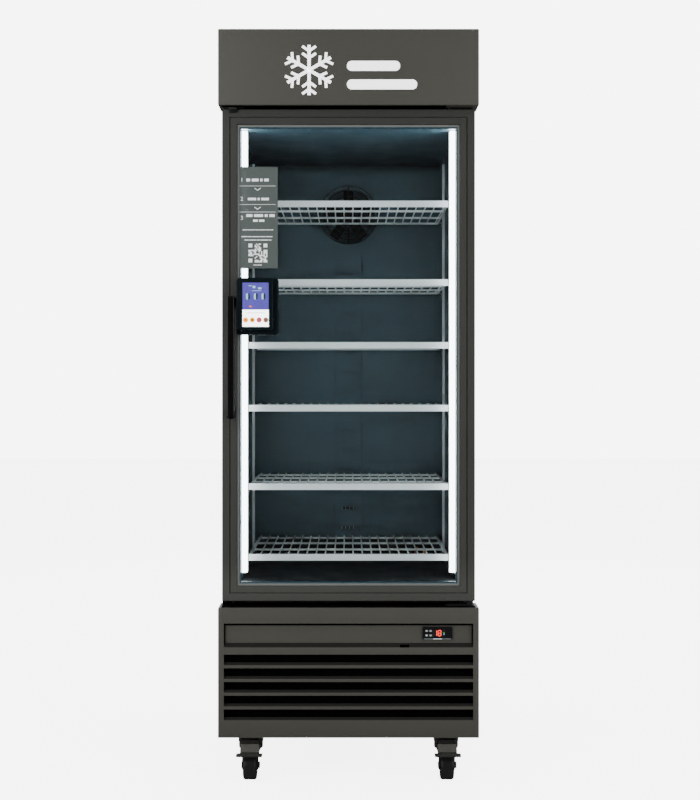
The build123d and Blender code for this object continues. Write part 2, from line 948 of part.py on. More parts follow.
def glass_spacer():
    """Spacer bars between the panes."""
    half, low, high = glass_edges()
    section = bar_section(spacer_width, pane_space)
    return frame_bars(section, half, low, high, glass_y + pane, spacer_width, pane_space)


def glazing_beads():
    """Beads that hold the glass unit in the frame from behind."""
    inset = rail_width - glass_bite
    section = bar_section(glass_bite, bead_depth)
    return frame_bars(
        section, door_half - inset, door_low + inset, door_high - inset, glass_back,
        glass_bite, bead_depth,
    )


def door_gasket():
    """Hollow magnetic seal on the door's back, a hair from the cabinet's frame."""
    depth = body_front - fit_gap - door_back
    outer = bar_section(gasket_width, depth)
    wall = gasket_squeeze
    hollow = [
        (wall, wall), (depth - wall, wall), (depth - wall, gasket_width - wall),
        (wall, gasket_width - wall),
    ]
    section = outer - make_face(Polyline(*hollow, close=True))
    return frame_bars(
        section, door_half - gasket_inset, door_low + gasket_inset, door_high - gasket_inset,
        door_back, gasket_width, depth,
    )


def door_handle():
    """One moulded handle: a long grip on two posts."""
    handle_x = -door_half + handle_from_left
    width = both(handle_x, handle_width / 2)
    front = front_y - handle_proud
    body = block(width, (front, door_y), (handle_low_z, handle_high_z))
    body = fillet(body.edges().filter_by(Axis.X).group_by(Axis.Y)[0], handle_round * 2)
    body = fillet(body.edges().filter_by(Axis.Z).group_by(Axis.Y)[0], handle_round)
    gap = block(
        both(handle_x, handle_width),
        (front + handle_thick, door_y + cut_over),
        (handle_low_z + handle_post, handle_high_z - handle_post),
    )
    return [(body - gap).solid()]


def terminal_left():
    """Left edge of the terminal, just inside the door's rail."""
    return -door_half + rail_width + fit_gap


def terminal_housing():
    """Terminal's mounting box on the glass, with the tablet's case in front of it."""
    left = terminal_left()
    high = terminal_low_z + terminal_height
    split = glass_y - terminal_back_depth
    back = rounded_block(
        (left, left + terminal_width), (split, glass_y), (terminal_low_z, high),
        terminal_round, Axis.Y,
    )
    front = split - tablet_depth
    tablet = rounded_block(
        (left, left + tablet_width), (front, split), (high - tablet_height, high),
        tablet_round, Axis.Y,
    )
    tablet = fillet(tablet.faces().sort_by(Axis.Y)[0].edges(), edge_ease)
    case = back + tablet
    return [(case - screen_block(front - cut_over)).solid()]


def screen_block(low_y):
    """Screen, from a given front to its seat in the tablet."""
    left = terminal_left() + screen_from_left
    front = glass_y - terminal_back_depth - tablet_depth
    high = terminal_low_z + terminal_height - screen_drop
    return block(
        (left, left + screen_width), (low_y, front + screen_thick), (high - screen_height, high)
    )


def terminal_screen():
    """Touch screen, flush in the tablet."""
    return [screen_block(glass_y - terminal_back_depth - tablet_depth)]


def lock_parts():
    """Lock case on the header's lower return, and its bolt, drawn back."""
    bolt_x = -door_half + lock_from_left
    bolt_y = door_y + bolt_behind_front
    case_low = header_low + sheet
    case_front = bolt_y - bolt_depth / 2 - slot_clearance - lock_wall
    case = shell(
        both(bolt_x, lock_width / 2),
        (case_front, case_front + lock_depth),
        (case_low, case_low + lock_height),
        lock_wall,
    )
    case -= block(
        both(bolt_x, bolt_width / 2 + run_gap),
        both(bolt_y, bolt_depth / 2 + run_gap),
        (case_low - cut_over, case_low + lock_wall + cut_over),
    )
    nose = block(
        both(bolt_x, nose_width / 2), both(bolt_y, nose_depth / 2),
        (door_high + nose_gap, header_low),
    )
    nose -= block(
        both(bolt_x, bolt_width / 2 + run_gap),
        both(bolt_y, bolt_depth / 2 + run_gap),
        (door_high - cut_over, header_low + cut_over),
    )
    tip = door_high + bolt_rest_gap
    bolt = block(
        both(bolt_x, bolt_width / 2), both(bolt_y, bolt_depth / 2), (tip, tip + bolt_tail)
    )
    return {"lock_housing": [case.solid(), nose.solid()], "lock_bolt": [bolt]}


def wire(x):
    """Long shelf wire: level at the back, bent down at the front."""
    level = shelf_levels[0] - wire_radius
    back = (x, shelf_back, level)
    corner = (x, shelf_front, level)
    foot = (x, shelf_front, level - wire_drop)
    path = FilletPolyline(back, corner, foot, radius=wire_bend)
    start = Plane(origin=back, z_dir=(0, -1, 0))
    return sweep(start * Circle(wire_radius), path=path)


def wire_shelf():
    """Lowest shelf: long wires over crosswise bars, with a bar along each side."""
    bar_z = shelf_levels[0] - 2 * wire_radius - bar_radius + weld_bite
    half = shelf_half_width - bar_radius
    pitch = 2 * (half - wire_in) / (wire_count - 1)
    wires = [wire(-half + wire_in + k * pitch) for k in range(wire_count)]
    first = shelf_front + shelf_bar_shares[0] * shelf_depth
    last = shelf_front + shelf_bar_shares[-1] * shelf_depth
    bars = [rod((x, first, bar_z), (x, last, bar_z), bar_radius) for x in (-half, half)]
    for share in shelf_bar_shares:
        y = shelf_front + share * shelf_depth
        bars.append(rod((-half, y, bar_z), (half, y, bar_z), bar_radius))
    return wires[0].fuse(*wires[1:], *bars).solid()


def at_each_level(shape):
    """Copies of a piece of the lowest shelf at every shelf."""
    return [Pos(0, 0, level - shelf_levels[0]) * shape for level in shelf_levels]


def ticket_rail():
    """Flat rail over the bent wire ends of the lowest shelf, hooked over the top."""
    half = shelf_half_width
    face_back = shelf_front - wire_radius
    high = shelf_levels[0]
    face = block(both(0, half), (face_back - rail_thick, face_back), (high - rail_height, high))
    hook = block(
        both(0, half),
        (face_back - rail_thick, face_back + rail_hook),
        (high, high + rail_thick),
    )
    return joined([face, hook])


def pilaster():
    """Slotted upright on the right liner wall, at the front of the shelves."""
    outer_x = (inner_half - pilaster_depth, inner_half)
    y_span = both(pilaster_ys[0], pilaster_width / 2)
    z_span = (floor_z + pilaster_end_gap, ceiling_z - pilaster_end_gap)
    strip = block(outer_x, y_span, z_span)
    strip -= block(
        (inner_half - pilaster_depth + pilaster_wall, inner_half + cut_over),
        both(pilaster_ys[0], pilaster_width / 2 - pilaster_wall),
        (z_span[0] - cut_over, z_span[1] + cut_over),
    )
    first = shelf_levels[0] - slot_step / 2
    count = int((z_span[1] - first) / slot_step)
    slots = []
    for k in range(count):
        z = first + k * slot_step
        slots.append(block(
            both(inner_half - pilaster_depth, pilaster_wall + cut_over),
            both(pilaster_ys[0], pilaster_slot_width / 2),
            both(z, pilaster_slot_height / 2),
        ))
    return strip.cut(*slots).solid()


def on_each_upright(shape):
    """Copies of a front right piece on all four uprights."""
    rear = Pos(0, pilaster_ys[1] - pilaster_ys[0], 0) * shape
    return both_sides(shape) + both_sides(rear)


def shelf_clip():
    """Clip under the lowest shelf: a ledge with a plate on the upright."""
    rest_z = shelf_levels[0] - 2 * wire_radius - 2 * bar_radius + weld_bite
    wall_x = inner_half - pilaster_depth
    ledge = block(
        (wall_x - clip_reach, wall_x), both(pilaster_ys[0], clip_width / 2),
        (rest_z - clip_thick, rest_z),
    )
    plate = block(
        (wall_x - clip_thick, wall_x), both(pilaster_ys[0], clip_width / 2),
        (rest_z - clip_height, rest_z),
    )
    return joined([ledge, plate])


def shelf_clips():
    """Four clips for each shelf."""
    clips = []
    for clip in at_each_level(shelf_clip()):
        clips += on_each_upright(clip)
    return clips


def led_strips():
    """Light strips on the liner's sides: an angle that holds a round-cornered diffuser."""
    z_span = (floor_z + led_low_gap, ceiling_z - led_high_gap)
    low_y = liner_front + led_behind_front
    high_y = low_y + led_depth
    inner_x = inner_half - led_width
    back = block((inner_x, inner_half), (high_y - led_wall, high_y), z_span)
    side = block((inner_half - led_wall, inner_half), (low_y, high_y), z_span)
    diffuser = block((inner_x, inner_half - led_wall), (low_y, high_y - led_wall), z_span)
    corner = diffuser.edges().filter_by(Axis.Z).group_by(Axis.Y)[0].sort_by(Axis.X)[0]
    diffuser = fillet(corner, led_round)
    return {
        "led_channels": both_sides(joined([back, side])),
        "led_diffusers": both_sides(diffuser),
    }


def finned_coil(middle_x, half, front, depth, low_z, rows, foot):
    """Coil: level tubes in return bends, fins across them, and two end plates."""
    middle_y = front + depth / 2
    height = rows * row_spacing
    z_span = (low_z + foot, low_z + foot + height)
    plates = [
        block((middle_x + side * half - end_plate, middle_x + side * half),
              (front, front + depth), (low_z, z_span[1]))
        for side in (-1, 1)
    ]
    count = int(2 * (half - fin_spacing) / fin_spacing)
    fins = []
    for k in range(count):
        x = middle_x - half + (k + 1) * fin_spacing
        fins.append(block((x, x + fin_thick), (front, front + depth), z_span))
    tubes = []
    for k in range(rows):
        z = z_span[0] + (k + 1 / 2) * row_spacing
        start = (middle_x - half - end_plate, middle_y, z)
        tubes.append(rod(start, (middle_x + half, middle_y, z), tube_radius))
    bends = []
    for k in range(rows - 1):
        side = -1 if k % 2 == 0 else 1
        x = middle_x + half if side > 0 else middle_x - half - end_plate
        z = z_span[0] + (k + 1) * row_spacing
        bends.append(return_bend((x, middle_y, z), side))
    return plates[0].fuse(plates[1], *fins, *tubes, *bends).solid()


def return_bend(centre, side):
    """Half turn of tube between two rows, bulging to one side."""
    start = Vector(*centre) + Vector(0, 0, -row_spacing / 2)
    middle = Vector(*centre) + Vector(side * row_spacing / 2, 0, 0)
    end = Vector(*centre) + Vector(0, 0, row_spacing / 2)
    path = ThreePointArc(start, middle, end)
    return sweep(Plane(origin=start, z_dir=(side, 0, 0)) * Circle(tube_radius), path=path)


def coil_height(rows, foot):
    """Height of a finned coil over its feet."""
    return rows * row_spacing + foot


def condenser_centre():
    """Centre of the condenser's fan, on the back of the coil."""
    z = chassis_top + condenser_foot + condenser_rows * row_spacing / 2
    return (condenser_x, front_y + condenser_front + condenser_depth, z)


def fan_shroud(centre, half_width, low_z, high_z, fan_radius):
    """Plate with the fan's round opening and three arms that hold the motor."""
    x, y, z = centre
    ring_radius = fan_radius + fan_tip_gap
    plate = block(both(x, half_width), (y, y + sheet), (low_z, high_z))
    ring = rod((x, y, z), (x, y + shroud_depth, z), ring_radius + sheet)
    body = plate + ring
    body -= rod((x, y - cut_over, z), (x, y + shroud_depth + cut_over, z), ring_radius)
    arm_y = (y + shroud_depth - sheet, y + shroud_depth + sheet)
    arms = []
    for k in range(motor_arm_count):
        arm = block(both(0, motor_arm / 2), arm_y, (motor_radius / 2, ring_radius + sheet / 2))
        arms.append(Pos(x, 0, z) * Rot(0, k * 360 / motor_arm_count, 0) * arm)
    hub = rod((x, arm_y[0], z), (x, arm_y[1], z), motor_radius)
    hub -= rod((x, arm_y[0] - cut_over, z), (x, arm_y[1] + cut_over, z), shaft_radius + fit_gap)
    return body.fuse(*arms, hub).solid()


def fan_motor(centre):
    """Motor behind the arms, with its shaft towards the coil."""
    x, y, z = centre
    mount = y + shroud_depth + sheet
    can = rod((x, mount, z), (x, mount + motor_length, z), motor_radius)
    can = fillet(can.edges().group_by(Axis.Y)[-1], sheet)
    shaft = rod((x, y, z), (x, mount, z), shaft_radius)
    return can + shaft


def fan(centre, radius):
    """Hub and pitched blades, running on the motor's shaft."""
    x, y, z = centre
    start = y + sheet / 2
    hub = rod((x, start, z), (x, start + fan_hub_length - sheet, z), fan_hub_radius)
    middle = start + (fan_hub_length - sheet) / 2
    root = fan_hub_radius - sheet
    blades = []
    for k in range(fan_blade_count):
        blade = block(
            both(0, fan_blade_chord / 2), both(0, fan_blade_thick / 2), (root, radius)
        )
        blade = Rot(0, 0, fan_blade_pitch) * blade
        blades.append(Pos(x, middle, z) * Rot(0, k * 360 / fan_blade_count, 0) * blade)
    rotor = hub.fuse(*blades)
    bore = rod((x, y - cut_over, z), (x, y + shroud_depth, z), shaft_radius + run_gap)
    return (rotor - bore).solid()


def duct_fan_centre():
    """Centre of the evaporator's fan, on the back of the duct panel."""
    return (0, duct_y + sheet, fan_z)


def duct_panel():
    """Sheet in front of the evaporator, with air slots in a raised spine and a fan ring."""
    half = inner_half - duct_side_gap
    z_span = (floor_z + duct_low_gap, ceiling_z - duct_high_gap)
    face = block(both(0, half), (duct_y, duct_y + sheet), z_span)
    side = block((half - sheet, half), (duct_y, liner_back), z_span)
    x, y, z = duct_fan_centre()
    spine_top = z - evaporator_fan_radius - spine_width / 2
    spine = block(
        both(0, spine_width / 2), (duct_y - spine_proud, duct_y + sheet), (z_span[0], spine_top)
    )
    hollow = block(
        both(0, spine_width / 2 - sheet),
        (duct_y - spine_proud + sheet, duct_y + sheet + cut_over),
        (z_span[0] + sheet, spine_top - sheet),
    )
    ring_low = z - evaporator_fan_radius - fan_tip_gap - sheet
    ring = fan_shroud(
        duct_fan_centre(), evaporator_fan_radius + motor_radius, ring_low, 2 * z - ring_low,
        evaporator_fan_radius,
    )
    panel = face.fuse(*both_sides(side), spine) - hollow
    panel -= rod(
        (x, duct_y - cut_over, z), (x, duct_y + sheet + cut_over, z),
        evaporator_fan_radius + fan_tip_gap,
    )
    panel = panel.fuse(ring)
    vents = []
    pitch = (spine_top - z_span[0]) / (vent_count + 1)
    for k in range(vent_count):
        vents.append(block(
            both(0, vent_width / 2),
            (duct_y - spine_proud - cut_over, duct_y - spine_proud + sheet + cut_over),
            both(z_span[0] + (k + 1) * pitch, vent_height / 2),
        ))
    return [panel.cut(*vents).solid()]


def evaporator_coil():
    """Evaporator behind the duct panel, standing off the liner's back on two feet."""
    front = liner_back - evaporator_depth - evaporator_standoff - pipe_behind_coil
    coil = finned_coil(
        0, evaporator_half_width, front, evaporator_depth, floor_z + evaporator_low_gap,
        evaporator_rows, 0,
    )
    low = floor_z + evaporator_low_gap
    high = low + evaporator_rows * row_spacing
    feet = []
    for side in (-1, 1):
        x = side * evaporator_half_width
        feet.append(block(
            (x - end_plate, x), (front + evaporator_depth, liner_back), (low, low + row_spacing)
        ))
        feet.append(block(
            (x - end_plate, x), (front + evaporator_depth, liner_back), (high - row_spacing, high)
        ))
    return [coil.fuse(*feet).solid()]


def condensing_unit():
    """Condenser, shroud, compressor, fans and motors."""
    front = front_y + condenser_front
    coil = finned_coil(
        condenser_x, condenser_half_width, front, condenser_depth, chassis_top, condenser_rows,
        condenser_foot,
    )
    centre = condenser_centre()
    high = chassis_top + coil_height(condenser_rows, condenser_foot)
    shroud = fan_shroud(centre, condenser_half_width, chassis_top, high, condenser_fan_radius)
    return {
        "condenser_coil": [coil],
        "condenser_shroud": [shroud],
        "fan_motors": [fan_motor(centre), fan_motor(duct_fan_centre())],
        "condenser_fan": [fan(centre, condenser_fan_radius)],
        "evaporator_fan": [fan(duct_fan_centre(), evaporator_fan_radius)],
    }


def compressor():
    """Hollow welded shell on a foot plate with four studs to the chassis."""
    low = chassis_top + compressor_lift + foot_thick
    place = Pos(compressor_x, compressor_y, low + compressor_height / 2)
    outer = place * Cylinder(compressor_radius, compressor_height)
    outer = fillet(outer.edges().filter_by(GeomType.CIRCLE).group_by(Axis.Z)[-1], compressor_dome)
    inner_radius = compressor_radius - compressor_wall
    inner = place * Cylinder(inner_radius, compressor_height - 2 * compressor_wall)
    inner = fillet(
        inner.edges().filter_by(GeomType.CIRCLE).group_by(Axis.Z)[-1],
        compressor_dome - compressor_wall,
    )
    foot = block(
        both(compressor_x, foot_width / 2), both(compressor_y, foot_depth / 2),
        (low - foot_thick, low),
    )
    studs = []
    for x_way in (-1, 1):
        for y_way in (-1, 1):
            x = compressor_x + x_way * (foot_width / 2 - foot_stud_radius)
            y = compressor_y + y_way * (foot_depth / 2 - foot_stud_radius)
            studs.append(rod((x, y, chassis_top), (x, y, low), foot_stud_radius))
    return [(outer - inner).fuse(foot, *studs).solid()]


def pipe(points, radius, bend):
    """Round pipe through some points, with equal bends."""
    path = FilletPolyline(*points, radius=bend)
    start = Plane(origin=points[0], z_dir=Vector(*points[1]) - Vector(*points[0]))
    return sweep(start * Circle(radius), path=path)


def refrigerant_pipes():
    """Discharge pipe to the condenser, and suction and liquid pipes to the evaporator."""
    shell_top = chassis_top + compressor_lift + foot_thick + compressor_height
    top_z = shell_top + pipe_rise
    first_row = chassis_top + condenser_foot + (condenser_rows - 1 / 2) * row_spacing
    last_row = first_row - (condenser_rows - 1) * row_spacing
    coil_end = condenser_x + condenser_half_width
    coil_y = front_y + condenser_front + condenser_depth / 2
    offset = compressor_radius / 2
    entry_z = floor_z + evaporator_low_gap - row_spacing / 2
    first_z = floor_z + evaporator_low_gap + row_spacing / 2
    last_z = first_z + (evaporator_rows - 1) * row_spacing
    evaporator_y = (
        liner_back - evaporator_depth / 2 - evaporator_standoff - pipe_behind_coil
    )
    end_x = evaporator_half_width
    discharge = pipe(
        [
            (compressor_x - offset, compressor_y, shell_top),
            (compressor_x - offset, compressor_y, top_z),
            (compressor_x - offset, coil_y, top_z),
            (compressor_x - offset, coil_y, first_row),
            (coil_end, coil_y, first_row),
        ],
        liquid_radius,
        discharge_bend,
    )
    suction = pipe(
        [
            (pipe_x, compressor_y, shell_top),
            (pipe_x, compressor_y, top_z),
            (pipe_x, pipe_y, top_z),
            (pipe_x, pipe_y, entry_z),
            (end_x + suction_run, pipe_y, entry_z),
            (end_x + suction_run, evaporator_y, entry_z),
            (end_x + suction_run, evaporator_y, first_z),
            (end_x, evaporator_y, first_z),
        ],
        suction_radius,
        2 * suction_radius,
    )
    liquid_entry = entry_z - row_spacing / 2
    liquid_out = end_x + liquid_run
    liquid = pipe(
        [
            (coil_end, coil_y, last_row),
            (liquid_end, coil_y, last_row),
            (liquid_end, pipe_y, last_row),
            (liquid_x, pipe_y, last_row),
            (liquid_x, pipe_y, liquid_entry),
            (liquid_out, pipe_y, liquid_entry),
            (liquid_out, pipe_y, last_z),
            (liquid_out, evaporator_y, last_z),
            (end_x, evaporator_y, last_z),
        ],
        liquid_radius,
        2 * liquid_radius,
    )
    return [discharge.solid(), suction.solid(), liquid.solid()]


def drain_parts():
    """Condensate pan in the machine bay and the hose that drains into it."""
    x_span = both(pan_x, pan_width / 2)
    y_span = both(pan_y, pan_depth / 2)
    pan = block(x_span, y_span, (chassis_top, chassis_top + pan_height))
    pan -= block(
        both(pan_x, pan_width / 2 - pan_wall), both(pan_y, pan_depth / 2 - pan_wall),
        (chassis_top + pan_wall, chassis_top + pan_height + cut_over),
    )
    low = chassis_top + pan_height - hose_dip
    flange_end = (pan_x, hose_y, floor_z + liner)
    flange = rod((pan_x, hose_y, floor_z), flange_end, hose_radius + hose_flange)
    hose = rod((pan_x, hose_y, low), flange_end, hose_radius) + flange
    hose -= rod(
        (pan_x, hose_y, low - cut_over), (pan_x, hose_y, floor_z + liner + cut_over),
        hose_radius - hose_wall,
    )
    return [pan.solid(), hose.solid()]


def electronics_box():
    """Case for the lock and payment electronics, in the bay behind the header."""
    middle_y = body_front + cap_depth + electronics_depth / 2
    low = deck_z + sheet
    return [shell(
        both(electronics_x, electronics_width / 2), both(middle_y, electronics_depth / 2),
        (low, low + electronics_height), electronics_wall,
    )]


def inlet_z():
    """Height of the mains inlet's centre."""
    return chassis_top + inlet_lift


def rear_cover():
    """Louvred cover of the machine bay's back, cut out for the mains inlet."""
    half = body_half - rear_flange + rear_cover_overlap
    z_span = (chassis_top, base_top)
    cover = block(both(0, half), (body_back, rear_y), z_span)
    cover -= block(
        both(0, half - sheet), (body_back - cut_over, rear_y - sheet),
        (z_span[0] + sheet, z_span[1] - sheet),
    )
    cutters = []
    top = base_top - 2 * rear_slot_spacing
    for k in range(rear_slot_count):
        z = top - k * rear_slot_spacing
        for side in (-1, 1):
            middle = side * (rear_slot_half + rear_slot_spacing / 2)
            cutters.append(block(
                both(middle, rear_slot_half),
                (rear_y - sheet - cut_over, rear_y + cut_over),
                both(z, rear_slot_height / 2),
            ))
    cutters = [slot for slot in cutters if clear_of_inlet(slot)]
    cutters.append(inlet_opening())
    return [cover.cut(*cutters).solid()]


def clear_of_inlet(slot):
    """Whether a slot stays off the mains inlet's face."""
    box = slot.bounding_box()
    beside = box.min.X > inlet_x + inlet_width or box.max.X < inlet_x - inlet_width
    above = box.min.Z > inlet_z() + inlet_height or box.max.Z < inlet_z() - inlet_height
    return beside or above


def inlet_opening():
    """Hole for the inlet's body in the rear cover."""
    return block(
        both(inlet_x, inlet_body_width / 2),
        (rear_y - sheet - cut_over, rear_y + cut_over),
        both(inlet_z(), inlet_body_height / 2),
    )


def power_inlet():
    """Appliance inlet: body inside the cover, flange on its inner face, three pins."""
    inner_face = rear_y - sheet
    flange = block(
        both(inlet_x, inlet_width / 2), (inner_face - inlet_face, inner_face),
        both(inlet_z(), inlet_height / 2),
    )
    body = block(
        both(inlet_x, inlet_body_width / 2), (inner_face - inlet_body_depth, rear_y),
        both(inlet_z(), inlet_body_height / 2),
    )
    well = block(
        both(inlet_x, inlet_body_width / 2 - inlet_face),
        (inner_face - inlet_body_depth + inlet_face, rear_y + cut_over),
        both(inlet_z(), inlet_body_height / 2 - inlet_face),
    )
    pins = []
    for k in (-1, 0, 1):
        x = inlet_x + k * inlet_body_width / 4
        pins.append(block(
            both(x, inlet_pin_height / 2),
            (inner_face - inlet_body_depth, inner_face - inlet_face),
            both(inlet_z(), inlet_pin_width / 2),
        ))
    return [(flange + body - well).fuse(*pins).solid()]


def castor_places():
    """Name and swivel axis of each castor."""
    places = {}
    for depth_name, y in (("front", front_y + castor_inset), ("rear", body_back - castor_inset)):
        for side_name, x in (("left", -castor_x), ("right", castor_x)):
            places[depth_name + "_" + side_name] = (x, y)
    return places


def castor_plate(x, y):
    """Castor's fixed plate with its bearing dome and kingpin."""
    plate_low = base_low - castor_plate_thick
    race_low = plate_low - race_height
    half = castor_plate_size / 2
    plate = block(both(x, half), both(y, half), (plate_low, base_low))
    align = (Align.CENTER, Align.CENTER, Align.MIN)
    race = Pos(x, y, race_low) * Cone(race_low_radius, race_radius, race_height, align=align)
    pin_low = race_low - fit_gap - fork_cap_height - fit_gap
    pin = rod((x, y, pin_low), (x, y, race_low), kingpin_radius)
    head_low = pin_low - kingpin_head_thick
    head = rod((x, y, head_low), (x, y, pin_low), kingpin_head)
    return joined([plate, race, pin, head])


def cap_top():
    """Top of a fork's cap, just under the bearing dome."""
    return base_low - castor_plate_thick - race_height - fit_gap


def castor_fork(x, y, braked):
    """Swivelling fork with its crown, legs and axle; a braked one has the pedal's pin."""
    crown_low = wheel_top + crown_over_wheel
    cap_low = cap_top() - fork_cap_height
    cap = rod((x, y, cap_low), (x, y, cap_top()), fork_cap_radius)
    cap = fillet(cap.edges().group_by(Axis.Z)[0], fork_cap_round)
    crown = block(
        both(x, crown_half_width), (y - crown_front, y + crown_back),
        (crown_low, cap_top() - sheet),
    )
    crown = fillet(crown.edges().filter_by(Axis.Z), bend_radius)
    axle_y = y - castor_trail
    leg_x = wheel_width / 2 + wheel_side_gap
    leg_top = crown_low + fork_leg
    outline = [
        (axle_y - fork_leg_reach, leg_top), (axle_y + fork_leg_reach, leg_top),
        (axle_y + fork_leg_round, wheel_radius), (axle_y - fork_leg_round, wheel_radius),
    ]
    leg_plane = Plane.YZ.offset(x + leg_x)
    leg = prism(outline, leg_plane, fork_leg)
    ear = rod(
        (x + leg_x, axle_y, wheel_radius), (x + leg_x + fork_leg, axle_y, wheel_radius),
        fork_leg_round,
    )
    leg = leg + ear
    other = Pos(-(2 * leg_x + fork_leg), 0, 0) * leg
    outer = leg_x + fork_leg
    axle = rod((x - outer, axle_y, wheel_radius), (x + outer, axle_y, wheel_radius), axle_radius)
    head = rod(
        (x - outer - axle_head_thick, axle_y, wheel_radius), (x - outer, axle_y, wheel_radius),
        axle_head,
    )
    nut_plane = Plane(origin=(x + outer, axle_y, wheel_radius), z_dir=(1, 0, 0))
    nut = extrude(nut_plane * RegularPolygon(axle_head, 6), amount=axle_nut_thick)
    pieces = [crown, leg, other, axle, head, nut]
    if braked:
        pin_y = y - pedal_pin_y
        pin_z = wheel_top + pedal_pin_over_wheel
        reach = crown_half_width + fit_gap + pedal_arm + fit_gap
        end = reach + pedal_pin_head_thick
        pieces.append(rod((x - reach, pin_y, pin_z), (x + reach, pin_y, pin_z), pedal_pin_radius))
        for side in (-1, 1):
            near = (x + side * reach, pin_y, pin_z)
            far = (x + side * end, pin_y, pin_z)
            pieces.append(rod(near, far, pedal_pin_head))
    fork = cap.fuse(*pieces)
    pocket_top = cap_low
    pocket = rod((x, y, wheel_top), (x, y, pocket_top), kingpin_head + 2 * fit_gap)
    bore = rod((x, y, wheel_top), (x, y, cap_top() + cut_over), kingpin_radius + run_gap)
    return (fork - pocket - bore).solid()


def castor_wheel(x, y):
    """Wheel with a rounded tread and a recessed hub, on the axle."""
    axle_y = y - castor_trail
    half = wheel_width / 2
    wheel = rod((x - half, axle_y, wheel_radius), (x + half, axle_y, wheel_radius), wheel_radius)
    wheel = fillet(wheel.edges().filter_by(GeomType.CIRCLE), wheel_round)
    for side in (-1, 1):
        inner = x + side * (half - hub_recess)
        outer = x + side * (half + cut_over)
        recess = rod(
            (inner, axle_y, wheel_radius), (outer, axle_y, wheel_radius),
            wheel_radius - 2 * wheel_round,
        )
        recess -= rod(
            (inner, axle_y, wheel_radius), (outer, axle_y, wheel_radius), hub_radius
        )
        wheel -= recess
    wheel -= rod(
        (x - half - cut_over, axle_y, wheel_radius), (x + half + cut_over, axle_y, wheel_radius),
        axle_radius + run_gap,
    )
    return wheel.solid()


def castor_pedal(x, y):
    """Brake pedal: a foot plate and its web on two arms that turn on the fork's pin."""
    low = wheel_top + pedal_over_wheel
    front = y - pedal_front
    plate = block(both(x, pedal_half_width), (front, front + pedal_reach), (low, low + pedal_thick))
    plate = fillet(plate.edges().filter_by(Axis.Z), pedal_thick)
    pin_y = y - pedal_pin_y
    pin_z = wheel_top + pedal_pin_over_wheel
    inner = crown_half_width + fit_gap
    boss = pedal_pin_radius + pedal_thick
    outline = [
        (front + pedal_reach / 2, low),
        (pin_y, pin_z - boss),
        (pin_y, pin_z + boss),
        (front + pedal_reach / 2, low + pedal_thick),
    ]
    arm = prism(outline, Plane.YZ.offset(x + inner), pedal_arm)
    arm += rod((x + inner, pin_y, pin_z), (x + inner + pedal_arm, pin_y, pin_z), boss)
    other = Pos(-(2 * inner + pedal_arm), 0, 0) * arm
    web_foot = front + pedal_reach
    web_head = y - crown_front - pedal_web_gap
    web_outline = [
        (web_foot - pedal_arm, low + pedal_thick / 2), (web_foot, low + pedal_thick / 2),
        (web_head, low + pedal_web_high), (web_head - pedal_arm, low + pedal_web_high),
    ]
    web = prism(web_outline, Plane.YZ.offset(x - inner - pedal_arm), 2 * (inner + pedal_arm))
    pedal = plate.fuse(arm, other, web)
    reach = inner + pedal_arm + cut_over
    bore = rod((x - reach, pin_y, pin_z), (x + reach, pin_y, pin_z), pedal_pin_radius + run_gap)
    return (pedal - bore).solid()


def castors():
    """Plates, forks, wheels and the two front brake pedals."""
    pieces = {"castor_plates": []}
    for name, (x, y) in castor_places().items():
        braked = name.startswith("front")
        pieces["castor_plates"].append(castor_plate(x, y))
        pieces["castor_fork_" + name] = [castor_fork(x, y, braked)]
        pieces["castor_wheel_" + name] = [castor_wheel(x, y)]
        if braked:
            pieces["castor_brake_" + name] = [castor_pedal(x, y)]
    return pieces


def all_pieces():
    """Every node's name and its solids."""
    pieces = {
        "side_panels": side_panels(),
        "back_panel": back_panel(),
        "top_panel": top_panel(),
        "insulation_foam": insulation_foam(),
        "inner_liner": inner_liner(),
        "front_frame": front_frame(),
        "base_chassis": base_chassis(),
        "header_cover": header_cover(),
        "base_grille": base_grille(),
        "control_strip": control_strip(),
        "controller_case": controller_case(),
        "controller_display": [display_block(front_y + strip_setback - controller_bezel)],
        "cover_screws": cover_screws(),
        "hinge_brackets": hinge_brackets(),
        "door_frame": door_frame(),
        "lock_strike": lock_strike(),
        "hinge_cartridges": hinge_cartridges(),
        "glass_panes": glass_panes(),
        "glass_spacer": glass_spacer(),
        "glazing_beads": glazing_beads(),
        "door_gasket": door_gasket(),
        "door_handle": door_handle(),
        "terminal_housing": terminal_housing(),
        "terminal_screen": terminal_screen(),
        "wire_shelves": at_each_level(wire_shelf()),
        "ticket_rails": at_each_level(ticket_rail()),
        "shelf_pilasters": on_each_upright(pilaster()),
        "shelf_clips": shelf_clips(),
        "duct_panel": duct_panel(),
        "evaporator_coil": evaporator_coil(),
        "compressor": compressor(),
        "refrigerant_pipes": refrigerant_pipes(),
        "drain_pan_and_hose": drain_parts(),
        "electronics_box": electronics_box(),
        "rear_cover": rear_cover(),
        "power_inlet": power_inlet(),
    }
    for group in (controller_buttons(), lock_parts(), led_strips(), condensing_unit(), castors()):
        pieces.update(group)
    return pieces


for node, solids in all_pieces().items():
    shape = solids[0] if len(solids) == 1 else Compound(children=list(solids))
    export_step(shape, "parts/" + node + ".step")
    print(node, len(solids))
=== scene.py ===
"""Looks of an upright vending fridge with one glass door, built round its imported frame."""
import logging
import math
import random
from collections.abc import Callable, Iterable
from dataclasses import dataclass, field, replace
from enum import Enum

import bmesh
import bpy
from mathutils import Matrix, Vector


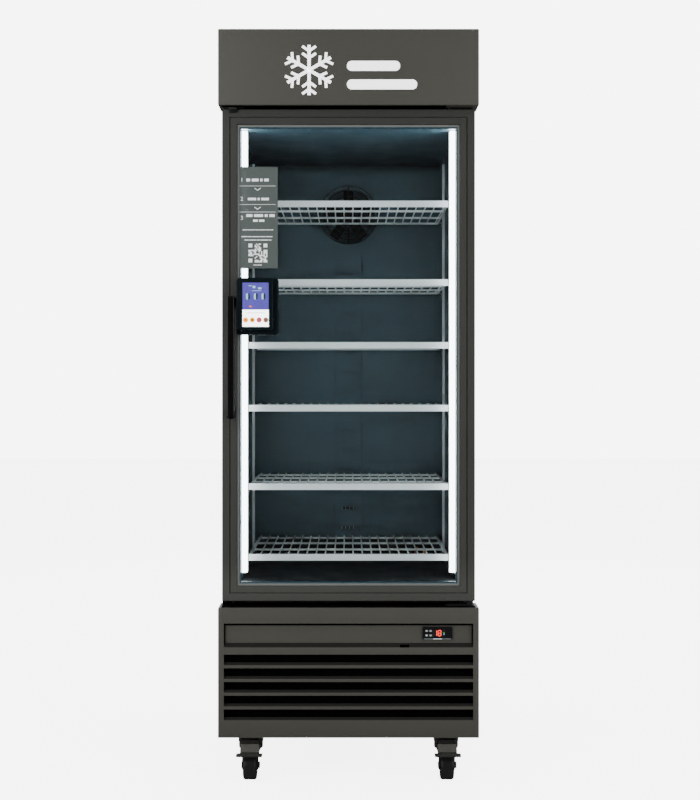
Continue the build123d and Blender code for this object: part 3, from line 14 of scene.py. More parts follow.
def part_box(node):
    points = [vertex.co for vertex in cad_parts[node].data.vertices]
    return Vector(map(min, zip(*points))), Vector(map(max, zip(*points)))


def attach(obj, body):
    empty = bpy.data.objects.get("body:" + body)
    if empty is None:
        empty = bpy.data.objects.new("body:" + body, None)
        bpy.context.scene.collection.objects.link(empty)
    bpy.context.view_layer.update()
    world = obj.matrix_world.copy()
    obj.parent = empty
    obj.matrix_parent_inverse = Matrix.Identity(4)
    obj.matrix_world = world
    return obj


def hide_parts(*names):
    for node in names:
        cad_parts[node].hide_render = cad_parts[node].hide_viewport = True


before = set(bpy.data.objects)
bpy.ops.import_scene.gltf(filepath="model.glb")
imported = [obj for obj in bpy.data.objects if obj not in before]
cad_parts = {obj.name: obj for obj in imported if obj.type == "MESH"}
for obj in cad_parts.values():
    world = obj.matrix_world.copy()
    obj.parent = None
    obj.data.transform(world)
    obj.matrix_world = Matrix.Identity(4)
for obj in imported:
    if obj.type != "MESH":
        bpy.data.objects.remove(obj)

LOG = logging.getLogger("vending_fridge")
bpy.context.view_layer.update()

Colour = tuple[float, float, float]
Place = tuple[float, float, float]

FACING = 0.9               # part of a normal along an axis, above which a face looks that way
CREASE = 40.0              # degrees between faces that stay an edge when a piece is shaded smooth
ROUND_CREASE = 60.0        # the same on round wires
FULL_ROUND_CREASE = 50.0   # the same on grips and ribs that are rounded all along
EASE = 0.0004              # rounding of a thin sheet's or strip's edges
BEDDED = 0.0002            # how far a screw or a rib reaches into its sheet
NOISE_BAND = (0.3, 0.7)    # part of a noise's range over which a value changes
LEAST_ROUGHNESS = 0.02


class Grain(Enum):
    """Fine structure of a surface."""

    SMOOTH = "smooth"
    POWDER = "powder coat with a slight orange peel"
    MOULDED = "eroded texture of a plastic mould"
    BRUSHED = "fine lines along the rolling direction"
    SPANGLE = "crystals of a zinc coat"
    RUBBER = "dull skin of pressed rubber"
    FOAM = "open cells"


GRAIN_DETAIL = {Grain.MOULDED: 6.0, Grain.RUBBER: 8.0, Grain.POWDER: 2.0}
BRUSH_STRETCH = (1.0, 1.0, 0.02)
SPANGLE_SHADES = (0.88, 1.10)
RELIEF_STRENGTH = 0.6
TONE_DETAIL = 3.0
WEAR_DETAIL = 5.0
WEAR_FINENESS = 4.0


@dataclass(frozen=True)
class Fade:
    """Painted light or shade with height: the colour is scaled by a factor below, which rises or
    falls to one.
    """

    low: float
    high: float
    factor: float


@dataclass(frozen=True)
class Surface:
    """What covers a piece. Its material is made once, and found by name after that."""

    name: str

    def material(self) -> bpy.types.Material:
        """Make this surface's material, or find it if it is there.

        Returns:
            The material.
        """
        found = bpy.data.materials.get(self.name)
        if found is not None:
            return found
        web = ShaderWeb(self.name)
        self.weave(web)
        return web.material

    def weave(self, web: "ShaderWeb") -> None:
        """Lay the material's nodes round its shader."""
        raise NotImplementedError


@dataclass(frozen=True)
class Finish(Surface):
    """An opaque surface: its colour, sheen and fine structure, all in metres."""

    colour: Colour
    roughness: float = 0.5
    metallic: float = 0.0
    grain: Grain = Grain.SMOOTH
    grain_size: float = 0.001
    grain_height: float = 0.00005
    tone: float = 0.06
    tone_size: float = 0.15
    coat: float = 0.0
    edge_radius: float = 0.0006
    glow: float = 0.0
    specular: float = 0.5
    # Painted light or shade that changes with height, if any.
    fade: Fade | None = None
    wear: float = 0.06

    def weave(self, web: "ShaderWeb") -> None:
        """Lay the nodes of the colour, the sheen and the grain."""
        place = web.add("ShaderNodeTexCoord").outputs["Object"]
        tone = web.noise(place, 1.0 / self.tone_size, TONE_DETAIL)
        web.colour_between(tone, self.shade(1.0 - self.tone), self.shade(1.0 + self.tone))
        if self.fade is not None:
            web.fade_with_height(place, self.fade)
        wear = web.noise(place, WEAR_FINENESS / self.tone_size, WEAR_DETAIL)
        web.value_between(
            wear, self.roughness - self.wear, self.roughness + self.wear, "Roughness"
        )
        web.shader.inputs["Metallic"].default_value = self.metallic
        web.shader.inputs["Coat Weight"].default_value = self.coat
        web.shader.inputs["Specular IOR Level"].default_value = self.specular
        if self.glow > 0.0:
            web.shader.inputs["Emission Color"].default_value = (*self.colour, 1.0)
            web.shader.inputs["Emission Strength"].default_value = self.glow
        web.relief(self.height(web, place), self.grain_height, self.edge_radius)

    def shade(self, factor: float) -> Colour:
        """The finish's colour, made lighter or darker by a factor."""
        red, green, blue = self.colour
        return (red * factor, green * factor, blue * factor)

    def height(self, web: "ShaderWeb", place: bpy.types.NodeSocket) -> bpy.types.NodeSocket:
        """Height pattern of the finish's grain.

        Args:
            web: The material's nodes.
            place: Object coordinates.

        Returns:
            The socket that gives the height, from 0 to 1.
        """
        per_metre = 1.0 / self.grain_size
        if self.grain is Grain.BRUSHED:
            return web.noise(web.stretched(place, BRUSH_STRETCH), per_metre, 2.0)
        if self.grain in (Grain.SPANGLE, Grain.FOAM):
            cells = web.add("ShaderNodeTexVoronoi", Scale=per_metre)
            web.link(place, cells.inputs["Vector"])
            if self.grain is Grain.SPANGLE:
                web.mix_in_cells(cells.outputs["Color"], self.colour)
            return cells.outputs["Distance"]
        return web.noise(place, per_metre, GRAIN_DETAIL.get(self.grain, 1.0))


class ShaderWeb:
    """The nodes of one material, round a single surface shader."""

    def __init__(self, name: str) -> None:
        """Start a material that has only its shader and its output."""
        self.material = bpy.data.materials.new(name)
        self.material.use_nodes = True
        self.nodes = self.material.node_tree.nodes
        self.nodes.clear()
        self.output = self.add("ShaderNodeOutputMaterial")
        self.shader = self.add("ShaderNodeBsdfPrincipled")
        self.link(self.shader.outputs["BSDF"], self.output.inputs["Surface"])

    def add(self, kind: str, **values: float | Place) -> bpy.types.Node:
        """Add a node and set its named inputs."""
        node = self.nodes.new(kind)
        for name, value in values.items():
            node.inputs[name].default_value = value
        return node

    def link(self, start: bpy.types.NodeSocket, end: bpy.types.NodeSocket) -> None:
        """Join two sockets."""
        self.material.node_tree.links.new(start, end)

    def noise(
        self, place: bpy.types.NodeSocket, scale: float, detail: float
    ) -> bpy.types.NodeSocket:
        """Noise on some coordinates, from 0 to 1."""
        node = self.add("ShaderNodeTexNoise", Scale=scale, Detail=detail)
        self.link(place, node.inputs["Vector"])
        return node.outputs["Fac"]

    def stretched(self, place: bpy.types.NodeSocket, scale: Place) -> bpy.types.NodeSocket:
        """Coordinates drawn out along an axis."""
        node = self.add("ShaderNodeMapping", Scale=scale)
        self.link(place, node.inputs["Vector"])
        return node.outputs["Vector"]

    def colour_between(
        self, factor: bpy.types.NodeSocket, first: Colour, second: Colour
    ) -> None:
        """Colour the surface between two colours by a pattern."""
        ramp = self.nodes.new("ShaderNodeValToRGB")
        for stop, place, colour in zip(ramp.color_ramp.elements, NOISE_BAND, (first, second)):
            stop.position = place
            stop.color = (*colour, 1.0)
        self.link(factor, ramp.inputs["Fac"])
        self.link(ramp.outputs["Color"], self.shader.inputs["Base Color"])

    def fade_with_height(self, place: bpy.types.NodeSocket, fade: Fade) -> None:
        """Paint light or shade into the surface's colour: lighter or darker towards the floor."""
        base = self.shader.inputs["Base Color"]
        parts = self.add("ShaderNodeSeparateXYZ")
        self.link(place, parts.inputs["Vector"])
        span = self.nodes.new("ShaderNodeMapRange")
        span.interpolation_type = "SMOOTHSTEP"
        span.inputs["From Min"].default_value = fade.low
        span.inputs["From Max"].default_value = fade.high
        span.inputs["To Min"].default_value = fade.factor
        self.link(parts.outputs["Z"], span.inputs["Value"])
        scaled = self.nodes.new("ShaderNodeVectorMath")
        scaled.operation = "SCALE"
        self.link(base.links[0].from_socket, scaled.inputs[0])
        self.link(span.outputs["Result"], scaled.inputs["Scale"])
        self.link(scaled.outputs["Vector"], base)

    def value_between(
        self, factor: bpy.types.NodeSocket, low: float, high: float, name: str
    ) -> None:
        """Vary one of the shader's numbers by a pattern."""
        node = self.nodes.new("ShaderNodeMapRange")
        node.inputs["From Min"].default_value = NOISE_BAND[0]
        node.inputs["From Max"].default_value = NOISE_BAND[1]
        node.inputs["To Min"].default_value = max(low, LEAST_ROUGHNESS)
        node.inputs["To Max"].default_value = min(high, 1.0)
        self.link(factor, node.inputs["Value"])
        self.link(node.outputs["Result"], self.shader.inputs[name])

    def mix_in_cells(self, cells: bpy.types.NodeSocket, colour: Colour) -> None:
        """Lay a metal's crystals, each a little lighter or darker, over its colour."""
        grey = self.nodes.new("ShaderNodeRGBToBW")
        self.link(cells, grey.inputs["Color"])
        dark, bright = (
            tuple(min(part * shade, 1.0) for part in colour) for shade in SPANGLE_SHADES
        )
        self.colour_between(grey.outputs["Val"], dark, bright)

    def relief(
        self, height: bpy.types.NodeSocket, distance: float, edge_radius: float
    ) -> None:
        """Raise the grain on the surface and soften its edges.

        Args:
            height: The pattern, from 0 to 1.
            distance: How high the pattern stands, in metres.
            edge_radius: Radius that the edges seem to have, in metres.
        """
        bump = self.add("ShaderNodeBump", Strength=RELIEF_STRENGTH, Distance=distance)
        self.link(height, bump.inputs["Height"])
        if edge_radius > 0.0:
            bevel = self.add("ShaderNodeBevel", Radius=edge_radius)
            bevel.samples = 4
            self.link(bevel.outputs["Normal"], bump.inputs["Normal"])
        self.link(bump.outputs["Normal"], self.shader.inputs["Normal"])


@dataclass(frozen=True)
class Glass(Surface):
    """Clear sheet."""

    name: str = "clear_sheet_glass"
    tint: Colour = (0.95, 0.98, 0.98)
    index: float = 1.28
    roughness: float = 0.0

    def weave(self, web: ShaderWeb) -> None:
        """Let the light through the sheet."""
        web.shader.inputs["Base Color"].default_value = (*self.tint, 1.0)
        web.shader.inputs["Transmission Weight"].default_value = 1.0
        web.shader.inputs["IOR"].default_value = self.index
        web.shader.inputs["Roughness"].default_value = self.roughness


@dataclass(frozen=True)
class Film(Surface):
    """Thin printed or coloured film, which lets a little through."""

    colour: Colour
    alpha: float
    roughness: float = 0.4
    mottle: float = 0.04
    mottle_per_metre: float = 60.0

    def weave(self, web: ShaderWeb) -> None:
        """Mottle the film's colour and let a little light through."""
        place = web.add("ShaderNodeTexCoord").outputs["Object"]
        web.colour_between(
            web.noise(place, self.mottle_per_metre, 4.0),
            tuple(part * (1.0 - self.mottle) for part in self.colour),
            tuple(part * (1.0 + self.mottle) for part in self.colour),
        )
        web.shader.inputs["Alpha"].default_value = self.alpha
        web.shader.inputs["Roughness"].default_value = self.roughness


@dataclass(frozen=True)
class LightBar(Surface):
    """Opal cover with a row of small lamps behind it."""

    name: str = "opal_light_bar"
    colour: Colour = (0.93, 0.97, 1.0)
    cover: Colour = (0.9, 0.9, 0.9)
    strength: float = 85.0
    dip: float = 0.9
    wave: float = 0.314
    lamp_pitch: float = 0.016

    def weave(self, web: ShaderWeb) -> None:
        """Light the cover, a little brighter over each lamp."""
        place = web.add("ShaderNodeTexCoord").outputs["Object"]
        waves = web.nodes.new("ShaderNodeTexWave")
        waves.bands_direction = "Z"
        waves.inputs["Scale"].default_value = self.wave / self.lamp_pitch
        web.link(place, waves.inputs["Vector"])
        web.shader.inputs["Base Color"].default_value = (*self.cover, 1.0)
        web.shader.inputs["Emission Color"].default_value = (*self.colour, 1.0)
        span = web.nodes.new("ShaderNodeMapRange")
        span.inputs["To Min"].default_value = self.strength * self.dip
        span.inputs["To Max"].default_value = self.strength
        web.link(waves.outputs["Fac"], span.inputs["Value"])
        web.link(span.outputs["Result"], web.shader.inputs["Emission Strength"])


# The body's paint is darker towards the floor: painted shade, as the light falls from above.
BODY_PAINT = Finish(
    "body_powder_coat", (0.0254, 0.0250, 0.0201), 0.48, grain=Grain.POWDER,
    grain_size=0.0016, grain_height=0.00006, tone=0.025, tone_size=0.6, specular=0.3,
    fade=Fade(0.12, 0.40, 0.84), wear=0.02,
)
# Darker copy of the body paint for the louvres' lips, the openings' rims and the control strip's
# seat: painted shade in the recesses.
RECESS_SHADE_PAINT = replace(BODY_PAINT, name="painted_recess_shade", colour=(0.0070, 0.0070, 0.0063),
                      specular=0.10, fade=None)
# The door frame's paint is lighter at its foot: painted light.
DOOR_PAINT = replace(BODY_PAINT, name="door_powder_coat", colour=(0.0135, 0.0138, 0.0120),
                     roughness=0.44, fade=Fade(0.515, 0.60, 1.55))
BLACK_PAINT = Finish(
    "black_enamel", (0.003, 0.003, 0.0031), 0.34, grain=Grain.POWDER, grain_size=0.0012,
    specular=0.2,
)
# Paler castor enamel for the brake pedals' upright plates: painted light on faces that catch the
# light from above.
CASTOR_PAINTED_HIGHLIGHT = replace(BLACK_PAINT, name="castor_enamel_painted_highlight", colour=(0.040, 0.040, 0.035),
                       tone=0.15, tone_size=0.02)
CASTOR_DARK = replace(BLACK_PAINT, name="castor_dark_enamel", colour=(0.008, 0.008, 0.007),
                      tone=0.15, tone_size=0.02)
# The liner's paint turns near black towards the interior's floor: painted shade where the light
# falls off.
LINER_PAINT = Finish(
    "slate_liner", (0.037, 0.066, 0.083), 0.40, grain=Grain.POWDER, grain_size=0.0018,
    tone=0.08, tone_size=0.3, specular=0.25, fade=Fade(0.545, 0.60, 0.04),
)
SPACER_BAR = Finish("teal_spacer_bar", (0.030, 0.060, 0.075), 0.45, 0.3, edge_radius=0.0)
GLASS_BORDER = Finish("teal_glass_border", (0.010, 0.025, 0.034), 0.3, edge_radius=0.0,
                      specular=0.3)
GLAZING_SEAL = Finish(
    "pale_glazing_seal", (0.085, 0.092, 0.087), 0.55, grain=Grain.RUBBER, grain_size=0.0008,
    specular=0.2,
)
# Near-black sheet laid in the gaps round the door and the covers: painted shade.
GAP_SHADE_SHEET = Finish(
    "painted_gap_shade", (0.0008, 0.0008, 0.0008), 0.95, grain=Grain.FOAM, grain_size=0.0015,
    grain_height=0.0003, edge_radius=0.0, specular=0.02,
)
SHELF_COAT = Finish(
    "white_shelf_coat", (0.80, 0.82, 0.82), 0.32, grain=Grain.POWDER, grain_size=0.0012,
    grain_height=0.00003, tone=0.02, edge_radius=0.0,
)
GALVANISED = Finish(
    "galvanised_sheet", (0.30, 0.31, 0.32), 0.40, 0.85, Grain.SPANGLE, 0.0055, 0.00001,
)
ZINC = Finish(
    "bright_zinc", (0.50, 0.50, 0.48), 0.30, 1.0, Grain.BRUSHED, 0.0004, 0.00001, 0.08, 0.04,
)
FIN_METAL = Finish(
    "mill_aluminium", (0.62, 0.63, 0.64), 0.36, 1.0, Grain.BRUSHED, 0.0005, 0.00001,
    edge_radius=0.0,
)
COPPER = Finish(
    "drawn_copper", (0.60, 0.27, 0.14), 0.32, 1.0, Grain.BRUSHED, 0.0006, 0.00001, 0.18, 0.03,
    edge_radius=0.0,
)
BLACK_PLASTIC = Finish(
    "black_moulding", (0.0022, 0.0023, 0.0026), 0.36, grain=Grain.MOULDED, grain_size=0.0006,
    grain_height=0.00003, specular=0.10,
)
HANDLE_PLASTIC = replace(BLACK_PLASTIC, name="black_handle_moulding", roughness=0.16,
                         grain=Grain.SMOOTH, colour=(0.0006, 0.0006, 0.0006), specular=0.14)
CASE_PLASTIC = replace(BLACK_PLASTIC, name="black_case_moulding", roughness=0.25,
                       colour=(0.0010, 0.0022, 0.0030), specular=0.10)
GREY_PLASTIC = Finish(
    "grey_moulding", (0.10, 0.102, 0.10), 0.45, grain=Grain.MOULDED, grain_size=0.0006,
    grain_height=0.00003,
)
# The ticket rails' white plastic glows a little, though it holds no lamp: painted light.
GLOWING_WHITE_PLASTIC = Finish(
    "white_extrusion_painted_light", (0.88, 0.90, 0.91), 0.35, grain=Grain.MOULDED, grain_size=0.0008,
    grain_height=0.00001, tone=0.02, glow=0.10,
)
SEAL_RUBBER = Finish(
    "gasket_rubber", (0.010, 0.010, 0.011), 0.62, grain=Grain.RUBBER, grain_size=0.0008,
)
WHEEL_RUBBER = Finish(
    "tyre_rubber", (0.0045, 0.0045, 0.0045), 0.38, grain=Grain.RUBBER, grain_size=0.0010,
    tone=0.15, tone_size=0.02, specular=0.15,
)
YELLOW_FOAM = Finish(
    "insulation_foam", (0.60, 0.50, 0.28), 0.9, grain=Grain.FOAM, grain_size=0.003,
    grain_height=0.0004,
)
# Near-black filter foam, which hides the machinery behind the louvres as painted shade.
FILTER_FOAM_AND_SHADE = Finish(
    "filter_foam_painted_shade", (0.0008, 0.0008, 0.0009), 0.95, grain=Grain.FOAM, grain_size=0.0025,
    grain_height=0.0008, edge_radius=0.0, specular=0.02,
)
# The header's white print glows, though the header holds no lamp: painted light.
GLOWING_WHITE_PRINT = Finish("white_print_painted_light", (0.88, 0.89, 0.89), 0.45, edge_radius=0.0, tone=0.02,
                     glow=1.3)
PALE_PRINT = replace(GLOWING_WHITE_PRINT, name="pale_print", colour=(0.60, 0.62, 0.62), glow=0.0)
# Pale marks that glow a little, though no lamp is behind them: painted light on the key marks and
# the case's glint.
GLOWING_PALE_MARK = Finish("pale_mark", (0.55, 0.60, 0.62), 0.4, edge_radius=0.0, glow=0.25)
# Grey line of painted highlight along the controller case's foot.
CASE_GLINT = replace(GLOWING_PALE_MARK, name="case_glint", colour=(0.16, 0.19, 0.20), glow=0.0)
RED_DIGIT = Finish("red_digit", (1.0, 0.05, 0.02), 0.4, edge_radius=0.0, glow=2.2)
BLUE_LAMP = Finish("blue_lamp", (0.05, 0.25, 0.9), 0.4, edge_radius=0.0, glow=1.0)
GREEN_LAMP = Finish("green_lamp", (0.05, 0.7, 0.15), 0.4, edge_radius=0.0, glow=1.0)
DISPLAY_LENS = Finish("display_lens", (0.003, 0.002, 0.002), 0.08, coat=0.3)
SCREEN_GLASS = Finish("screen_cover", (0.003, 0.003, 0.004), 0.06, coat=0.4)
CLEAR_GLASS = Glass()
LIGHT_BAR = LightBar()
GUIDE_FILM = Film("guide_film", (0.0185, 0.0265, 0.0240), 0.96, 0.5)


def screen_colour(name: str, colour: Colour, glow: float = 0.8) -> Finish:
    """A lit colour on the terminal's screen."""
    return Finish(name, colour, 0.3, tone=0.08, tone_size=0.02, edge_radius=0.0, glow=glow,
                  specular=0.2)


SCREEN_BLUE = screen_colour("screen_blue", (0.046, 0.038, 0.20))
SCREEN_WHITE = screen_colour("screen_white", (0.86, 0.87, 0.88), 4.0)
SCREEN_PALE = screen_colour("screen_pale", (0.20, 0.36, 0.40))
SCREEN_NIGHT = screen_colour("screen_night", (0.006, 0.018, 0.024), 0.4)
SCREEN_ORANGE = screen_colour("screen_orange", (0.80, 0.10, 0.01), 0.3)
SCREEN_YELLOW = screen_colour("screen_yellow", (0.85, 0.42, 0.02), 0.5)
SCREEN_RED = screen_colour("screen_red", (0.60, 0.01, 0.02), 0.3)
SCREEN_MAUVE = screen_colour("screen_mauve", (0.16, 0.09, 0.12), 0.4)
SCREEN_BROWN = screen_colour("screen_brown", (0.16, 0.06, 0.01), 0.3)


def deselect() -> None:
    """Deselect every object."""
    bpy.ops.object.select_all(action="DESELECT")


class Piece:
    """One mesh that is modelled with Blender's own tools and then fixed to a body."""

    def __init__(self, shape: bpy.types.Object, name: str) -> None:
        """Take over a primitive that was just added, and name it."""
        self.shape = shape
        self.shape.name = name
        self.shape.data.name = name
        bpy.ops.object.transform_apply(location=True, rotation=True, scale=True)

    @classmethod
    def block(cls, name: str, low: Place, high: Place) -> "Piece":
        """Box between two corners."""
        deselect()
        low_corner = Vector(low)
        high_corner = Vector(high)
        bpy.ops.mesh.primitive_cube_add(size=1.0, location=(low_corner + high_corner) / 2)
        shape = bpy.context.active_object
        shape.scale = high_corner - low_corner
        return cls(shape, name)

    @classmethod
    def drum(
        cls, name: str, start: Place, end: Place, radius: float, sides: int = 32
    ) -> "Piece":
        """Round bar from one point to another."""
        deselect()
        run = Vector(end) - Vector(start)
        bpy.ops.mesh.primitive_cylinder_add(
            vertices=sides, radius=radius, depth=run.length,
            location=(Vector(start) + Vector(end)) / 2,
            rotation=run.to_track_quat("Z", "Y").to_euler(),
        )
        return cls(bpy.context.active_object, name)

    @classmethod
    def plate(cls, name: str, centre: Place, width: float, height: float) -> "Piece":
        """Flat sheet that faces the front."""
        deselect()
        bpy.ops.mesh.primitive_plane_add(
            size=1.0, location=centre, rotation=(math.pi / 2, 0.0, 0.0)
        )
        shape = bpy.context.active_object
        shape.scale = (width, height, 1.0)
        return cls(shape, name)

    @classmethod
    def disc(cls, name: str, centre: Place, radius: float, sides: int = 32) -> "Piece":
        """Flat disc that faces the front."""
        deselect()
        bpy.ops.mesh.primitive_circle_add(
            vertices=sides, radius=radius, fill_type="NGON", location=centre,
            rotation=(math.pi / 2, 0.0, 0.0),
        )
        return cls(bpy.context.active_object, name)

    @property
    def name(self) -> str:
        """The piece's name."""
        return self.shape.name

    def activate(self) -> None:
        """Make this the only selected object."""
        deselect()
        self.shape.select_set(True)
        bpy.context.view_layer.objects.active = self.shape

    def edit(
        self, kind: str, test: Callable[[object], bool], *steps: Callable[[], object]
    ) -> "Piece":
        """Select part of the mesh in edit mode and run some steps on it.

        Args:
            kind: VERT, EDGE or FACE.
            test: Says which of them are selected.
            steps: What to do, in order.

        Returns:
            This piece.
        """
        self.activate()
        bpy.ops.object.mode_set(mode="EDIT")
        bpy.ops.mesh.select_mode(type=kind)
        bpy.ops.mesh.select_all(action="DESELECT")
        mesh = bmesh.from_edit_mesh(self.shape.data)
        parts = {"VERT": mesh.verts, "EDGE": mesh.edges, "FACE": mesh.faces}[kind]
        for part in [part for part in parts if test(part)]:
            part.select_set(True)
        mesh.select_flush_mode()
        bmesh.update_edit_mesh(self.shape.data)
        for step in steps:
            step()
        bpy.ops.object.mode_set(mode="OBJECT")
        return self

    def cut(self, axis: int, places: Iterable[float]) -> "Piece":
        """Divide the whole mesh by planes across one axis."""
        normal = [0.0, 0.0, 0.0]
        normal[axis] = 1.0
        for place in places:
            point = [0.0, 0.0, 0.0]
            point[axis] = place
            self.edit(
                "FACE", lambda part: True,
                lambda: bpy.ops.mesh.bisect(plane_co=point, plane_no=normal),
            )
        return self

    def modify(self, kind: str, **settings: float | str | bool | int) -> "Piece":
        """Add a modifier and apply it."""
        self.activate()
        modifier = self.shape.modifiers.new(kind.lower(), kind)
        for name, value in settings.items():
            setattr(modifier, name, value)
        bpy.ops.object.modifier_apply(modifier=modifier.name)
        return self

    def soften(self, width: float, segments: int = 2, degrees: float = 30.0) -> "Piece":
        """Round every edge sharper than an angle."""
        return self.modify(
            "BEVEL", width=width, segments=segments, limit_method="ANGLE",
            angle_limit=math.radians(degrees), harden_normals=False,
        )

    def copy(self, name: str, move: Matrix) -> "Piece":
        """Copy with its own mesh, moved to another place."""
        twin = self.shape.copy()
        twin.data = self.shape.data.copy()
        bpy.context.collection.objects.link(twin)
        twin.data.transform(move)
        other = object.__new__(Piece)
        other.shape = twin
        twin.name = name
        twin.data.name = name
        if move.determinant() < 0.0:
            twin.data.flip_normals()
        return other

    def join(self, others: Iterable["Piece"]) -> "Piece":
        """Take other pieces into this one."""
        self.activate()
        for other in others:
            other.shape.select_set(True)
        bpy.ops.object.join()
        return self

    def unite(self, others: Iterable["Piece"], operation: str = "UNION") -> "Piece":
        """Merge other closed pieces into this one, with no faces left inside."""
        for other in others:
            self.modify("BOOLEAN", operation=operation, object=other.shape, solver="EXACT")
            bpy.data.objects.remove(other.shape)
        return self

    def subtract(self, others: Iterable["Piece"]) -> "Piece":
        """Take other closed pieces away from this one."""
        return self.unite(others, "DIFFERENCE")

    def thicken(self, thickness: float) -> "Piece":
        """Give a sheet that faces the front a thickness towards the front."""
        return self.modify("SOLIDIFY", thickness=thickness, offset=1.0)

    def smooth(self, degrees: float = 35.0) -> "Piece":
        """Shade the piece smooth except over sharp edges."""
        self.activate()
        bpy.ops.object.shade_smooth_by_angle(angle=math.radians(degrees))
        return self

    def dress(self, *finishes: Surface) -> "Piece":
        """Give the piece its materials."""
        self.shape.data.materials.clear()
        for finish in finishes:
            self.shape.data.materials.append(finish.material())
        return self

    def fix(self, body: str, slot: str, *nodes: str) -> "Piece":
        """Let the piece move with a body.

        Args:
            body: The body that carries it.
            slot: A material slot's name; not used.
            nodes: The nodes that it stands for.

        Returns:
            This piece.
        """
        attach(self.shape, body)
        if nodes:
            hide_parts(*nodes)
        LOG.info("%s rides on %s", self.name, body)
        return self


def extrude(x: float, y: float, z: float) -> Callable[[], object]:
    """Step that extrudes what is selected along a vector."""
    return lambda: bpy.ops.mesh.extrude_region_move(
        TRANSFORM_OT_translate={"value": (x, y, z)}
    )


def inset(thickness: float, depth: float = 0.0) -> Callable[[], object]:
    """Step that insets the selected faces."""
    return lambda: bpy.ops.mesh.inset(thickness=thickness, depth=depth)


def round_off(radius: float, segments: int = 4) -> Callable[[], object]:
    """Step that rounds the selected edges."""
    return lambda: bpy.ops.mesh.bevel(
        offset=radius, offset_type="OFFSET", segments=segments, affect="EDGES"
    )


def round_corners(radius: float, segments: int = 4) -> Callable[[], object]:
    """Step that rounds the selected corners of a flat sheet."""
    return lambda: bpy.ops.mesh.bevel(offset=radius, segments=segments, affect="VERTICES")


def drop() -> Callable[[], object]:
    """Step that deletes the selected faces."""
    return lambda: bpy.ops.mesh.delete(type="FACE")


def paint(slot: int) -> Callable[[], object]:
    """Step that gives the selected faces one of the piece's materials."""

    def assign() -> None:
        """Assign the material."""
        bpy.context.object.active_material_index = slot
        bpy.ops.object.material_slot_assign()

    return assign


def near(value: float, target: float, slack: float = 1e-5) -> bool:
    """Whether two numbers are the same but for rounding."""
    return abs(value - target) < slack


def dress_node(node: str, finish: Surface) -> None:
    """Give a node of the frame a material."""
    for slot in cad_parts[node].material_slots:
        slot.material = finish.material()
    LOG.info("%s has %s", node, finish.name)


def edge_along_depth(edge: bmesh.types.BMEdge) -> bool:
    """Whether an edge runs from front to back."""
    first, second = (vert.co for vert in edge.verts)
    return near(first.x, second.x) and near(first.z, second.z)


def edge_at(axis: int, place: float) -> Callable[[bmesh.types.BMEdge], bool]:
    """Test for edges that lie in a plane across one axis."""
    return lambda edge: all(near(vert.co[axis], place) for vert in edge.verts)


@dataclass(frozen=True)
class Softbox:
    """A soft box: where it stands, what it looks at, its size and its power."""

    name: str
    place: Place
    target: Place
    size: tuple[float, float]
    power: float

    def light(self) -> None:
        """Set it up."""
        look = Vector(self.target) - Vector(self.place)
        bpy.ops.object.light_add(
            type="AREA", location=self.place, rotation=look.to_track_quat("-Z", "Y").to_euler()
        )
        lamp = bpy.context.active_object
        lamp.name = self.name
        lamp.data.shape = "RECTANGLE"
        lamp.data.size, lamp.data.size_y = self.size
        lamp.data.energy = self.power


